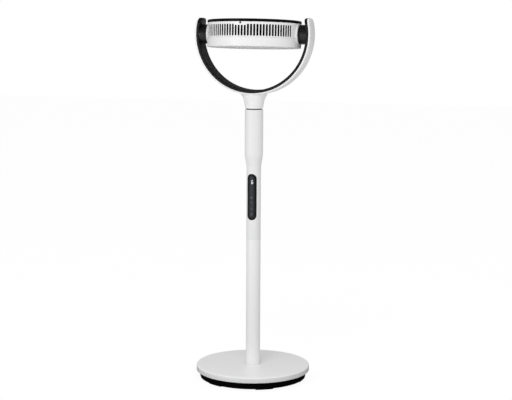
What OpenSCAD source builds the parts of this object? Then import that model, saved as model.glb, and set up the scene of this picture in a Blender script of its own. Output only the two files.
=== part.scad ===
// Pedestal air circulator: a round weighted foot, a slim post with a touch panel,
// a swivelling yoke and a short round fan head that tilts between the yoke's arms.
// The origin is under the middle of the foot. The front is -Y and the arms are at +X and -X.

/* [Foot] */
// Diameter of the white foot plate
plate_d = 300; // [260:1:340]
// Height of the foot plate's rim
plate_h = 14.3; // [12:0.1:20]
// Wall thickness of the foot plate
plate_wall = 2.5; // [2:0.1:4]
// Rounding of the foot plate's top edge
plate_round = 3; // [1:0.1:5]
// Diameter of the black pan where it meets the plate
pan_top_d = 285.5; // [240:0.1:290]
// Diameter of the pan's underside
pan_bottom_d = 280; // [236:0.1:286]
// Height of the pan
pan_h = 18; // [12:0.1:24]
// Wall thickness of the pan
pan_wall = 2.5; // [2:0.1:3]
// Height of the rubber pads that show under the pan
pad_h = 2.5; // [1:0.1:5]
// How deep each pad is let into the pan
pad_seat = 0.5; // [0.3:0.1:1]
// Width of each pad
pad_w = 12; // [8:0.5:16]
// Length of each pad along its arc
pad_len = 45; // [20:1:70]
// Number of pads
pad_count = 6; // [4:1:8]
// Gap between the pads and the pan's rim
pad_inset = 2.7; // [1:0.1:6]
// Diameter of the iron weight
weight_d = 232; // [180:1:236]
// Thickness of the iron weight
weight_t = 8; // [4:0.5:9]
// Diameter of the hole in the weight
weight_hole_d = 50; // [40:1:60]
// Number of screws that hold the pan to the plate
pan_screw_count = 4; // [4:2:8]
// Distance of the pan screws from the post's axis
pan_screw_reach = 127; // [122:0.5:128]

/* [Post] */
// Diameter of the post
post_d = 37.8; // [34:0.1:42]
// Wall thickness of the steel tube
tube_wall = 1.5; // [1:0.1:2.5]
// Length of the steel tube above the plate
tube_show = 337; // [200:1:420]
// Diameter of the socket's flange
socket_flange_d = 92; // [76:1:110]
// Thickness of the socket's flange
socket_flange_t = 5; // [4:0.5:8]
// Height of the socket's spigot inside the tube
socket_spigot = 80; // [50:1:120]
// Diameter of the cable hole through the socket
socket_bore_d = 18; // [16:1:22]
// Diameter of the circle of the socket's screws
socket_screw_circle = 74; // [64:1:84]
// Length of the joiner inside each half of the post
joiner_reach = 45; // [30:1:70]
// Wall thickness of the joiner
joiner_wall = 2.5; // [1.5:0.1:4]

/* [Control column] */
// Length of the control column
column_len = 341.5; // [330:0.5:420]
// Wall thickness of the control column
column_wall = 2.5; // [2:0.1:3]
// Diameter of the column's wide top
column_top_d = 48; // [47:0.1:54]
// Length of the wide top
column_wide = 114; // [95:0.5:125]
// Length of the taper
taper_len = 40; // [30:1:70]
// Length of the touch panel
panel_len = 122; // [100:1:130]
// Width of the touch panel
panel_w = 25; // [20:0.5:26]
// Thickness of the touch panel
panel_t = 1.2; // [0.8:0.1:1.6]
// Width of the ledge that carries the panel's edge
panel_ledge = 3; // [1.5:0.1:5]
// Plain stretch between the panel and the taper
panel_drop = 13.5; // [3:0.5:20]
// Distance from the panel's top to the middle of the display
display_drop = 22; // [16:0.5:26]
// Distance from the panel's top to the first touch key
key_drop = 60; // [50:0.5:62]
// Width of the circuit board
board_w = 18; // [14:0.5:20]
// Thickness of the circuit board
board_t = 1.6; // [1:0.1:2]
// Width of the digit display
display_w = 8; // [6:0.5:12]
// Height of the digit display
display_h = 15; // [10:0.5:20]
// Number of touch keys
key_count = 4; // [3:1:5]
// Distance from one touch key to the next
key_pitch = 16.5; // [14:0.1:17]
// Diameter of a touch key's spring pad
key_d = 8; // [5:0.5:10]

/* [Swivel] */
// Height of the black ring between column and neck
seam_h = 2.2; // [2:0.1:6]
// Diameter of the black ring
seam_d = 45; // [44:0.1:46]
// Diameter of the hollow spindle
spindle_d = 11; // [9:0.1:12]
// Bore of the hollow spindle
spindle_bore_d = 7; // [5:0.1:8]
// Diameter of the spindle's flange
spindle_flange_d = 36; // [30:0.5:37]
// Thickness of the spindle's flange
spindle_flange_t = 4; // [3:0.5:5]
// Height of the swivel frame inside the column
frame_h = 29; // [26:0.5:34]
// Wall and floor of the swivel frame
frame_wall = 3; // [2:0.1:4]
// Height of each swivel bush
bush_h = 7; // [5:0.5:9]
// Wall thickness of each swivel bush
bush_wall = 3; // [2:0.1:4]
// Distance from the swivel frame's top to the column's top
frame_sink = 5.5; // [4:0.1:8]
// Gap between the gear and the swivel frame
thrust_gap = 0.4; // [0.3:0.05:0.8]
// Thickness of the spindle's clip
spindle_clip_t = 1.5; // [1:0.1:2]
// Distance from the spindle's foot to the drive motor
can_drop = 7; // [4:0.5:9]

/* [Drives] */
// Module of the gears
gear_module = 0.8; // [0.7:0.01:0.82]
// Teeth of the large gears
gear_teeth = 24; // [22:1:25]
// Teeth of the pinions
pinion_teeth = 12; // [11:1:13]
// Width of the gears
gear_w = 5; // [3:0.1:5.5]
// Play between the gears' teeth
gear_play = 0.24; // [0.15:0.01:0.3]
// Diameter of a drive motor's can
can_d = 24; // [20:0.5:25]
// Length of a drive motor's can
can_len = 15; // [12:0.5:15.5]
// Offset of a drive motor's shaft from its can
can_offset = 7.4; // [6:0.1:8]
// Diameter of a drive motor's shaft
can_shaft_d = 4; // [3:0.1:5]
// Distance between a drive motor's two screws
ear_span = 31; // [29:0.5:32]
// Width of a drive motor's ears
ear_w = 6.4; // [5:0.1:7]
// Thickness of a drive motor's ears
ear_t = 1; // [0.8:0.1:1.5]

/* [Yoke] */
// Outer radius of the yoke's ring
yoke_r = 155.5; // [150:0.1:165]
// Thickness of the white outer shell
yoke_shell_t = 4.6; // [3:0.1:6]
// Thickness of the black liner
yoke_liner_t = 7.1; // [5:0.1:8]
// Width of the yoke
yoke_w = 51; // [50:0.5:70]
// Height of the arm tips above the pivot
arm_rise = 42.5; // [40:0.1:60]
// Rounding of the arm tips' corners
arm_round = 15; // [8:0.5:28]
// Rounding of the outer shell's edges
shell_round = 2.4; // [1:0.1:2.6]
// Rounding of the liner's edges
liner_round = 1.5; // [0.5:0.1:2.5]
// Height of the neck under the yoke
neck_h = 35.8; // [34:0.1:60]
// Diameter of the neck at its foot
neck_d = 46; // [45:0.1:48]
// Straight part of the neck's flare
neck_flare = 7; // [4:0.1:8]
// Curled part of the neck's flare
neck_curl = 6; // [3:0.1:7]
// Wall thickness of the neck's socket
neck_wall = 4; // [3:0.1:4.5]
// Depth of the neck's socket
neck_socket = 18; // [14:0.5:20]

/* [Pivots] */
// Diameter of the black pivot bosses
boss_d = 50; // [48:0.1:54]
// Wall thickness of the bosses
boss_wall = 3.4; // [2:0.1:4]
// Thickness of the bosses' inner web
boss_web = 4; // [3:0.1:5]
// Diameter of the trunnions' discs
disc_d = 49.4; // [47:0.1:53]
// Thickness of the trunnions' discs
disc_t = 4.4; // [3:0.1:5]
// Diameter of the trunnions' pins
pin_d = 14; // [12:0.1:14.4]
// Bore of the trunnions
pin_bore_d = 9; // [6:0.1:10]
// Diameter of the white collars on the head
collar_d = 60.8; // [58:0.1:64]
// Thickness of the white collars
collar_t = 9.9; // [8:0.1:11]
// Distance of the trunnion screws from the pivot
disc_screw_reach = 21; // [20:0.1:21.5]
// Distance of the boss screws from the pivot
boss_screw_reach = 17; // [16:0.1:18]
// Length of the boss screws
boss_screw_len = 9; // [8:0.5:10]
// Wall thickness of the pivots' bushes
pivot_bush_wall = 1.8; // [1.2:0.1:2]
// Thickness of the trunnions' clips
clip_t = 1.2; // [0.8:0.1:1.5]
// Width of the trunnions' clips
clip_w = 3; // [2:0.1:4]

/* [Head] */
// Diameter of the fan head
head_d = 243.4; // [235:0.1:246]
// Depth of the fan head
head_depth = 69.5; // [66:0.1:76]
// How far the head leans back from straight up
head_lean = 2.9; // [0:0.1:6]
// Wall thickness of the head's housings
head_wall = 3.5; // [2.5:0.1:3.7]
// Height of the rear housing's wall
rear_wall_h = 23.4; // [22:0.1:26]
// Rounding of the rear edge
rear_round = 3; // [1:0.1:3.4]
// Width of the rear housing's rim
rear_rim_w = 18; // [16:0.1:20]
// Thickness of the rear housing's rim
rear_rim_t = 2.5; // [2:0.1:3]
// Height of the black front ring
ring_h = 7.6; // [4:0.1:9]
// Rounding of the black front ring's edge
ring_round = 1.8; // [0.5:0.1:3]
// Number of slot places round the head
slot_places = 96; // [72:4:108]
// Width of a slot
slot_w = 4.8; // [2:0.1:5.4]
// Length of a slot
slot_len = 29.8; // [20:0.1:31]
// Distance from the rear housing to the slots
slot_start = 3; // [2.5:0.1:5]
// How much shorter the slots by the grille screw are
slot_cut = 2.7; // [0:0.1:5]
// Number of shortened slots
short_slots = 4; // [2:2:8]
// Half angle without slots at each pivot
slot_free = 15; // [14.5:0.5:20]
// Length of the screws in the back of the head
rear_screw_len = 14; // [12:0.5:15]

/* [Grilles] */
// Width of the front ring
ring_w = 8.7; // [6:0.1:9]
// Number of front ribs
front_ribs = 36; // [12:1:48]
// Thickness of the front ribs
front_rib_w = 1.8; // [1.2:0.1:2.5]
// Height of the front ribs
front_rib_h = 5; // [2:0.1:5.4]
// Radius of a front rib's curve
front_rib_curve = 90; // [80:1:140]
// Number of round bars in the front grille
front_bars = 3; // [1:1:5]
// Diameter of the front grille's hub
front_hub_d = 56; // [40:1:70]
// Diameter of the cap on the front hub
cap_d = 50; // [30:1:52]
// Height of the cap
cap_h = 2; // [1:0.1:3]
// Number of rear ribs
rear_ribs = 40; // [12:1:60]
// Thickness of the rear ribs
rear_rib_w = 1.8; // [1.2:0.1:2.5]
// Height of the rear ribs
rear_rib_h = 3.4; // [2:0.1:4]
// Width of the rear grille's ring
rear_ring_w = 4; // [2:0.1:6]
// Number of round bars in the rear grille
rear_bars = 4; // [1:1:6]
// Diameter of the rear grille's hub
rear_hub_d = 44; // [30:1:70]
// Depth of the rim behind the front grille
skirt_h = 4.6; // [4:0.1:6]
// Thickness of the rim behind the front grille
skirt_t = 2.4; // [2:0.1:3]

/* [Fan] */
// Diameter over the blade tips
fan_d = 180; // [150:1:182]
// Diameter of the fan's hub
hub_d = 60; // [50:1:70]
// Depth of the fan's hub
hub_h = 18; // [14:0.5:20]
// Rounding of the fan's hub
hub_round = 5; // [2:0.5:8]
// Wall thickness of the fan's hub
hub_wall = 2.2; // [1.5:0.1:3]
// Number of blades
blade_count = 7; // [3:1:9]
// Depth of a blade along the axis
blade_h = 24; // [16:0.5:26]
// Turn of a blade from back to front
blade_turn = 34; // [15:1:40]
// Sweep of a blade from hub to tip
blade_sweep = 24; // [0:1:40]
// Thickness of a blade
blade_t = 2; // [1.5:0.1:3]
// Bore of the duct round the blades
duct_d = 184; // [184:0.5:188]
// Wall thickness of the duct
duct_wall = 2.2; // [1.5:0.1:2.5]
// Number of vanes that carry the motor
vane_count = 9; // [5:1:13]
// Thickness of a vane
vane_t = 2; // [1.5:0.1:3]
// Diameter of the fan motor
motor_d = 58; // [50:0.5:60]
// Length of the fan motor
motor_len = 17.5; // [16:0.1:18]
// Wall thickness of the fan motor's case
motor_wall = 1.2; // [0.8:0.1:2]
// Diameter of the fan motor's shaft
shaft_d = 6; // [5:0.1:8]
// Outer diameter of the fan motor's bearings
bearing_d = 16; // [13:0.1:19]
// Width of the fan motor's bearings
bearing_w = 4; // [3:0.1:5]
// Diameter of the rotor
rotor_d = 38; // [30:0.5:40]
// Height of the motor's coil ring
coil_h = 8; // [6:0.1:8.4]
// Distance from the motor's back to the back of the head
motor_drop = 8.2; // [7:0.1:9]
// Distance from the fan motor to the fan's hub
fan_gap = 4.6; // [3:0.1:6]
// Height of the fan's nut
nut_h = 7; // [5:0.5:8]
// Radius over the corners of the fan's nut
nut_r = 8; // [7:0.5:10]

/* [Fits and screws] */
// Gap between pieces that plug together
fit = 0.3; // [0.2:0.01:0.4]
// Radial gap of a turning shaft
run = 0.05; // [0.02:0.01:0.1]
// Gap between faces that move past each other
slide = 0.3; // [0.25:0.01:0.5]
// Diameter of a small screw
screw_d = 3; // [2.5:0.1:3.5]
// Diameter of a large screw
bolt_d = 5; // [4:0.1:6]
// Diameter of the housing's small screws
tiny_screw_d = 2.2; // [1.6:0.1:2.4]

/* [Hidden] */

$fn = 96;
tiny = 0.01;
big = 1000;
head_ratio = 1.85;
head_height = 0.7;
pilot = 0.1;
press = 0.02;
seat_gap = 0.05;
skin_gap = 0.2;

// Heights along the post
pan_z = pad_h;
plate_z = pan_z + pan_h;
plate_top = plate_z + plate_h;
weight_z = pan_z + pan_wall;
socket_z = weight_z + weight_t;
tube_z = socket_z + socket_flange_t;
joint_z = plate_top + tube_show;
column_top = joint_z + column_len;
neck_z = column_top + seam_h + slide;
yoke_z = neck_z + neck_h;
pivot_z = yoke_z + yoke_r;
arm_top = pivot_z + arm_rise;

// Radii of the post
post_r = post_d / 2;
tube_r = post_r - tube_wall;
column_r = post_r - column_wall;
wide_r = column_top_d / 2;
wide_in_r = wide_r - column_wall;
wide_z = column_top - column_wide;
taper_z = wide_z - taper_len;

// Panel and what is behind it
panel_top = taper_z - panel_drop;
panel_mid = panel_top - panel_len / 2;
panel_r = post_r - panel_t;
window_w = panel_w - 2 * panel_ledge;
window_len = panel_len - 2 * panel_ledge;
board_len = panel_len - 2 * panel_ledge;
board_y = -sqrt(column_r * column_r - board_w * board_w / 4) + fit;
display_z = panel_top - display_drop;
key_z = panel_top - key_drop;
cable_r = 2;
cable_y = -6;
plug_w = 8;
plug_h = 8;
chip_w = 10;
chip_h = 14;
chip_t = 3;

// Foot details
pad_r = pan_bottom_d / 2 - pad_inset - pad_w / 2;
pad_angle = pad_len / pad_r * 180 / PI;
pan_post_r = 5.5;
pan_sink = 3.5;
pan_screw_bite = 8;
peg_r = 3;
peg_reach = 80;
peg_count = 4;
jack_w = 14;
jack_h = 11;
jack_deep = 13;
jack_nose_r = 5.2;
jack_hole_r = 2.85;
jack_pin_r = 0.9;
jack_z = weight_z + jack_h / 2 + fit;
jack_y = pan_bottom_d / 2 - pan_wall - fit;
jack_proud = 1;
jack_end = pan_bottom_d / 2 + jack_proud;
jack_bore = 9.5;
jack_pin_root = 2.5;
notch_w = 6;

// Screw sizes
screw_short = 0.5;
screw_head_room = screw_d + 1;
slot_deep = 6;
screw_r = screw_d / 2;
screw_head_r = screw_r * head_ratio;
bolt_r = bolt_d / 2;
tiny_screw_r = tiny_screw_d / 2;

// Swivel parts
frame_top = column_top - frame_sink;
frame_z = frame_top - frame_h;
frame_r = wide_in_r - fit;
spindle_r = spindle_d / 2;
bush_r = spindle_r + run + bush_wall;
hub_post_r = bush_r + frame_wall;
gear_z = frame_z - thrust_gap - gear_w;
clip_z = gear_z - spindle_clip_t - press;
spindle_clip_w = 2.5;
spindle_tail = 0.5;
spindle_foot = clip_z - spindle_tail;
swivel_can_top = spindle_foot - can_drop;
flange_z = neck_z + neck_socket - spindle_flange_t;
neck_socket_r = neck_d / 2 - neck_wall;
spindle_screw_edge = 5;
spindle_screw_reach = spindle_flange_d / 2 - spindle_screw_edge;
spindle_screw_bite = 7;
ear_post_r = 2.6;
frame_screw_turn = 30;
seam_wall = 2;

// Gears
pitch_r = gear_module * gear_teeth / 2;
pinion_pitch_r = gear_module * pinion_teeth / 2;
gear_gap = pitch_r + pinion_pitch_r;
addendum = gear_module * 0.8;
dedendum = gear_module * 1.1;
pressure = 20;
can_r = can_d / 2;
can_shaft_r = can_shaft_d / 2;
can_y = gear_gap - can_offset;
nose_r = 4.4;
nose_h = 1.4;
shaft_in = 3;
lug_w = 14;
lug_out = 2;
lug_deep = 6;
lug_cut = 4;
can_screw_len = 7;

// Yoke and pivots
shell_in = yoke_r - yoke_shell_t;
liner_out = shell_in - skin_gap;
liner_in = liner_out - yoke_liner_t;
boss_r = boss_d / 2;
head_r = head_d / 2;
collar_proud = 0.4;
collar_x = head_r + collar_proud;
collar_in_x = collar_x - collar_t;
disc_x = collar_x + slide;
disc_end = disc_x + disc_t;
boss_x = disc_end + slide;
boss_end = liner_in - skin_gap / 2;
web_sink = 1;
web_x = liner_in - boss_web - web_sink;
pin_r = pin_d / 2;
pin_tail = 2;
pin_end = liner_in + pin_tail;
clip_x = boss_end + slide;
clip_room = 1.5;
liner_hole_r = pin_r + clip_w + clip_room;
hub_r = pin_r + run + pivot_bush_wall;
tilt_gear_gap = 1.5;
tilt_gear_x = boss_x + tilt_gear_gap;
tilt_can_x = collar_in_x - fit;

// Head, measured from its middle along the fan's axis
half = head_depth / 2;
rear_top = -half + rear_wall_h;
front_start = rear_top + fit;
ring_start = half - ring_h;
slot_low = rear_top + slot_start;
slot_high = slot_low + slot_len;
inner_r = head_r - head_wall;
ledge_t = 2;
ledge_w = 5;
flange_start = front_start + ledge_t;
flange_t = 2;
grille_screw_drop = 2.8;
grille_screw_r = screw_r + 0.4;
grille_screw_h = 1.6;
grille_screw_rise = 0.4;
grille_screw_z = ring_start - grille_screw_drop;
rear_post_r = 3.6;
post_room = 0.5;
post_reach = inner_r - ledge_w - post_room - rear_post_r;
rear_post_h = 4;
rear_screw_sink = 2.2;
rear_in = -half + rear_rim_t;
opening_r = head_r - rear_rim_w;
rear_lip_w = 1;
rear_lip_r = opening_r + rear_lip_w;
rear_lip_t = 1.4;
motor_z = -half + motor_drop;
motor_front = motor_z + motor_len;
motor_r = motor_d / 2;
shaft_r = shaft_d / 2;
bearing_r = bearing_d / 2;
cup_wall = 2;
cup_r = motor_r + fit + cup_wall;
duct_r = duct_d / 2;
duct_room = 6;
duct_front = ring_start - duct_room;
fan_z = motor_front + fan_gap;
fan_front = fan_z + hub_h;
hub_core_w = 3;
nut_cover = 1.5;
nut_dome = 2;
blade_lag = 2;
blade_steps = 8;
vane_h = 11;
vane_turn = 10;
rib_sink = 0.4;
rib_z = ring_start + rib_sink;
rear_rib_z = -half + fit;
rib_bury = 1;
bearing_in = 0.8;
cup_floor = 2.2;
cup_short = 1;
cup_hole_w = 2;
bearing_wall = 1.5;
cover_t = 2;
rotor_gap = 1.2;
coil_gap = 0.5;
shaft_gap = 1;

function smooth(t) = t * t * (3 - 2 * t);
function involute(a) = tan(a) * 180 / PI - a;
function polar(r, a) = [r * cos(a), r * sin(a)];

// Half the angle of a tooth at radius r
function half_tooth(teeth, r) =
    let (rp = gear_module * teeth / 2, rb = rp * cos(pressure))
    90 / teeth - gear_play / 4 / rp * 180 / PI + involute(pressure)
    - involute(acos(min(1, rb / r)));

function tooth(teeth, mid) =
    let (rp = gear_module * teeth / 2, rb = rp * cos(pressure), low = rp - dedendum)
    let (top = rp + addendum, from = max(rb, low), steps = 4)
    let (radii = [for (i = [0 : steps]) from + (top - from) * i / steps])
    concat([polar(low, mid - half_tooth(teeth, from))],
        [for (r = radii) polar(r, mid - half_tooth(teeth, r))],
        [for (i = [steps : -1 : 0]) polar(radii[i], mid + half_tooth(teeth, radii[i]))],
        [polar(low, mid + half_tooth(teeth, from))]);

// Gear outline with the middle of a tooth at angle start
module gear_outline(teeth, start) {
    polygon([for (k = [0 : teeth - 1], p = tooth(teeth, start + k * 360 / teeth)) p]);
}

// Stadium outline, upright
module stadium(w, len) {
    square([w, len - w], center = true);
    for (s = [-1, 1]) translate([0, s * (len - w) / 2]) circle(d = w);
}

// Ring with square edges
module ring(r_out, r_in, z, h) {
    translate([0, 0, z]) difference() {
        cylinder(r = r_out, h = h);
        translate([0, 0, -1]) cylinder(r = r_in, h = h + 2);
    }
}

// Screw that points along +Z from the underside of its head
module screw(r, len) {
    translate([0, 0, -r * 2 * head_height])
        difference() {
            cylinder(r = r * head_ratio, h = r * 2 * head_height, $fn = 32);
            translate([0, 0, -1]) cylinder(r = r * 0.9, h = r * 0.8 + 1, $fn = 6);
        }
    translate([0, 0, -tiny]) cylinder(r = r, h = len + tiny, $fn = 32);
}

// Places its children at equal steps round the Z axis, at a distance along Y
module around(count, reach, start = 0) {
    for (k = [0 : count - 1]) rotate([0, 0, start + k * 360 / count]) translate([0, reach, 0])
        children();
}

module in_head() {
    translate([0, 0, pivot_z]) rotate([-head_lean, 0, 0]) children();
}

// Turns +Z to +X, with the children's origin on the pivot axis
module along_x(x) {
    translate([x, 0, 0]) rotate([0, 90, 0]) children();
}

module pad(extra, z, h) {
    translate([0, 0, z]) rotate([0, 0, 90 - pad_angle / 2 - extra / pad_r * 90 / PI])
        rotate_extrude(angle = pad_angle + extra / pad_r * 180 / PI, $fn = 180)
            translate([pad_r - pad_w / 2 - extra / 2, 0]) square([pad_w + extra, h]);
}

module foot_pads() {
    color("dimgray")
        around(pad_count, 0, 180 / pad_count)
            pad(0, 0, pad_h + pad_seat);
}

module pan_wall_outline(shrink) {
    polygon([[0, pan_z], [pan_bottom_d / 2 - shrink, pan_z],
        [pan_top_d / 2 - shrink, plate_z], [0, plate_z]]);
}

module base_pan() {
    color("black") difference() {
        union() {
            difference() {
                rotate_extrude($fn = 180) pan_wall_outline(0);
                translate([0, 0, pan_wall]) rotate_extrude($fn = 180) pan_wall_outline(pan_wall);
            }
            around(pan_screw_count, pan_screw_reach, 180 / pan_screw_count)
                translate([0, 0, pan_z]) cylinder(r = pan_post_r, h = pan_h - fit, $fn = 48);
            around(peg_count, peg_reach)
                translate([0, 0, pan_z]) cylinder(r = peg_r, h = pan_wall + weight_t, $fn = 32);
        }
        around(pad_count, 0, 180 / pad_count)
            pad(fit, pan_z - 1, pad_seat + 1);
        around(pan_screw_count, pan_screw_reach, 180 / pan_screw_count) {
            translate([0, 0, pan_z - 1]) cylinder(r = screw_r + fit, h = pan_h + 2, $fn = 32);
            translate([0, 0, pan_z - 1])
                cylinder(r = screw_head_r + fit, h = pan_sink + 1, $fn = 32);
        }
        translate([0, jack_y - 2, jack_z]) rotate([-90, 0, 0])
            cylinder(r = jack_nose_r + fit, h = big, $fn = 48);
        jack_block(fit / 2);
    }
}

module pan_screws() {
    color("silver")
        around(pan_screw_count, pan_screw_reach, 180 / pan_screw_count)
            translate([0, 0, pan_z + pan_sink])
                screw(screw_r, pan_h + pan_screw_bite - pan_sink);
}

module ballast_weight() {
    color("dimgray") difference() {
        ring(weight_d / 2, weight_hole_d / 2, weight_z, weight_t);
        around(peg_count, peg_reach)
            translate([0, 0, weight_z - 1]) cylinder(r = peg_r + fit, h = weight_t + 2, $fn = 32);
        around(4, socket_screw_circle / 2, 45)
            translate([0, 0, weight_z - 1]) cylinder(r = bolt_r, h = weight_t + 2, $fn = 32);
        jack_block(fit);
    }
}

// Body of the inlet, or the room for it where extra is its clearance
module jack_block(extra) {
    translate([-jack_w / 2 - extra, jack_y - jack_deep - extra, jack_z - jack_h / 2 - extra])
        cube([jack_w + 2 * extra, jack_deep + 2 * extra, jack_h + 2 * extra]);
}

module dc_inlet() {
    color("black") difference() {
        union() {
            jack_block(0);
            translate([0, jack_y - 1, jack_z]) rotate([-90, 0, 0])
                cylinder(r = jack_nose_r, h = jack_end - jack_y + 1, $fn = 48);
        }
        translate([0, 0, jack_z]) difference() {
            translate([0, jack_end - jack_bore, 0]) rotate([-90, 0, 0])
                cylinder(r = jack_hole_r, h = big, $fn = 32);
            translate([0, jack_end - jack_bore - jack_pin_root, 0]) rotate([-90, 0, 0])
                cylinder(r = jack_pin_r, h = jack_bore + jack_pin_root - 1, $fn = 24);
        }
    }
}

module rounded_disc_outline(r, h, edge) {
    square([r - edge, h]);
    square([r, h - edge]);
    translate([r - edge, h - edge]) circle(r = edge, $fn = 48);
}

module base_plate() {
    color("white") difference() {
        union() {
            translate([0, 0, plate_z]) difference() {
                rotate_extrude($fn = 240) rounded_disc_outline(plate_d / 2, plate_h, plate_round);
                translate([0, 0, -1])
                    cylinder(r = plate_d / 2 - plate_wall, h = plate_h - plate_wall + 1, $fn = 240);
            }
            around(pan_screw_count, pan_screw_reach, 180 / pan_screw_count)
                translate([0, 0, plate_z]) cylinder(r = pan_post_r, h = plate_h - 1, $fn = 48);
        }
        around(pan_screw_count, pan_screw_reach, 180 / pan_screw_count)
            translate([0, 0, plate_z - 1])
                cylinder(r = screw_r + press, h = pan_screw_bite + 2, $fn = 32);
        translate([0, 0, plate_z]) cylinder(r = post_r + fit, h = big, $fn = 96);
    }
}

module tube_socket() {
    spigot_r = tube_r - fit;
    color("silver") difference() {
        union() {
            translate([0, 0, socket_z]) cylinder(d = socket_flange_d, h = socket_flange_t);
            translate([0, 0, socket_z])
                cylinder(r = spigot_r, h = socket_flange_t + socket_spigot);
        }
        translate([0, 0, socket_z - 1])
            cylinder(d = socket_bore_d, h = socket_flange_t + socket_spigot + 2, $fn = 64);
        around(4, socket_screw_circle / 2, 45)
            translate([0, 0, socket_z - 1])
                cylinder(r = bolt_r + fit, h = socket_flange_t + 2, $fn = 32);
        translate([-notch_w / 2, 0, socket_z - 1]) cube([notch_w, socket_flange_d, 2 * cable_r + 1]);
    }
}

module socket_screws() {
    color("silver")
        around(4, socket_screw_circle / 2, 45)
            translate([0, 0, tube_z]) rotate([180, 0, 0])
                screw(bolt_r - pilot, socket_flange_t + weight_t - 1);
}

module post_tube() {
    color("white") difference() {
        ring(post_r, tube_r, tube_z, joint_z - tube_z);
        translate([0, 0, joint_z - joiner_reach / 2]) rotate([-90, 0, 0])
            cylinder(r = screw_r + fit, h = big, $fn = 32);
    }
}

module tube_joiner() {
    joiner_r = min(tube_r, column_r) - fit;
    color("silver") difference() {
        union() {
            ring(tube_r - fit, joiner_r - joiner_wall, joint_z - joiner_reach, joiner_reach);
            ring(column_r - fit, joiner_r - joiner_wall, joint_z, joiner_reach);
        }
        for (s = [-1, 1]) translate([0, 0, joint_z + s * joiner_reach / 2])
            rotate([-90, 0, 0]) cylinder(r = screw_r, h = big, $fn = 32);
    }
}

module joiner_screws() {
    color("silver")
        for (s = [-1, 1]) translate([0, post_r, joint_z + s * joiner_reach / 2])
            rotate([90, 0, 0]) screw(screw_r - pilot, column_wall + joiner_wall);
}

module main_cable() {
    lie_z = socket_z + cable_r;
    up = panel_mid - board_len / 2 - plug_h - lie_z;
    color("black") {
        translate([0, cable_y, lie_z]) rotate([-90, 0, 0])
            cylinder(r = cable_r, h = jack_y - jack_deep - cable_y, $fn = 24);
        translate([0, cable_y, lie_z]) sphere(r = cable_r, $fn = 24);
        translate([0, cable_y, lie_z]) cylinder(r = cable_r, h = up, $fn = 24);
    }
}

// Outline of the column's outside, from the joint up, drawn in by shrink
function column_side(shrink) = concat([[post_r - shrink, joint_z]],
    [for (i = [0 : 12]) [post_r - shrink + (wide_r - post_r) * smooth(i / 12),
        taper_z + taper_len * i / 12]],
    [[wide_r - shrink, column_top]]);

module column_solid(shrink) {
    rotate_extrude($fn = 120)
        polygon(concat([[0, joint_z]], column_side(shrink), [[0, column_top]]));
}

// Upright stadium cut that runs from the axis to the front
module front_cut(w, len) {
    translate([0, 0, panel_mid]) rotate([90, 0, 0]) linear_extrude(big) stadium(w, len);
}

module control_column() {
    color("white") difference() {
        column_solid(0);
        column_solid(column_wall);
        translate([0, 0, joint_z - 1]) cylinder(r = column_r, h = 2);
        translate([0, 0, column_top - 2]) cylinder(r = wide_in_r, h = 4);
        front_cut(window_w, window_len);
        difference() {
            front_cut(panel_w + fit, panel_len + fit);
            cylinder(r = panel_r - fit / 2, h = big);
        }
        translate([0, 0, joint_z + joiner_reach / 2]) rotate([-90, 0, 0])
            cylinder(r = screw_r + fit, h = big, $fn = 32);
        for (s = [-1, 1]) rotate([0, 0, s * frame_screw_turn])
            translate([0, 0, frame_z + frame_h / 2]) rotate([-90, 0, 0])
                cylinder(r = screw_r + fit, h = big, $fn = 32);
    }
}

module control_panel() {
    color([0.16, 0.16, 0.18]) intersection() {
        ring(post_r, panel_r, panel_mid - panel_len, 2 * panel_len);
        front_cut(panel_w, panel_len);
    }
}

module circuit_board() {
    color("green") {
        translate([-board_w / 2, board_y, panel_mid - board_len / 2])
            cube([board_w, board_t, board_len]);
        translate([-plug_w / 2, board_y, panel_mid - board_len / 2 - plug_h])
            cube([plug_w, cable_y + cable_r - board_y, 2 * plug_h]);
        translate([-chip_w / 2, board_y + board_t - tiny, panel_mid])
            cube([chip_w, chip_t, chip_h]);
    }
}

module digit_display() {
    deep = board_y + sqrt(panel_r * panel_r - display_w * display_w / 4) - fit;
    color("white") translate([-display_w / 2, board_y - deep, display_z - display_h / 2])
        cube([display_w, deep, display_h]);
}

module touch_keys() {
    deep = board_y + sqrt(panel_r * panel_r - key_d * key_d / 4) - fit;
    color("silver")
        for (k = [0 : key_count - 1]) translate([0, board_y, key_z - k * key_pitch])
            rotate([90, 0, 0]) cylinder(d = key_d, h = deep, $fn = 32);
}

module ear_holes(r, z, h) {
    for (s = [-1, 1]) translate([s * ear_span / 2, can_y, z]) cylinder(r = r, h = h, $fn = 32);
}

module swivel_frame() {
    color("dimgray") difference() {
        union() {
            ring(frame_r, frame_r - frame_wall, frame_z, frame_h);
            translate([0, 0, frame_z]) cylinder(r = frame_r, h = frame_wall);
            translate([0, 0, frame_z]) cylinder(r = hub_post_r, h = frame_h);
            ear_holes(ear_post_r, swivel_can_top, frame_z - swivel_can_top + 1);
        }
        translate([0, 0, frame_z - 1]) cylinder(r = bush_r + press, h = frame_h + 2);
        ear_holes(screw_r - pilot, swivel_can_top - 1, can_drop + 2);
        for (s = [-1, 1]) rotate([0, 0, s * frame_screw_turn])
            translate([0, 0, frame_z + frame_h / 2]) rotate([-90, 0, 0])
                translate([0, 0, hub_post_r]) cylinder(r = screw_r, h = big, $fn = 32);
    }
}

module frame_screws() {
    color("silver")
        for (s = [-1, 1]) rotate([0, 0, s * frame_screw_turn])
            translate([0, wide_r, frame_z + frame_h / 2]) rotate([90, 0, 0])
                screw(screw_r - pilot, column_wall + frame_wall + 1);
}

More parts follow.
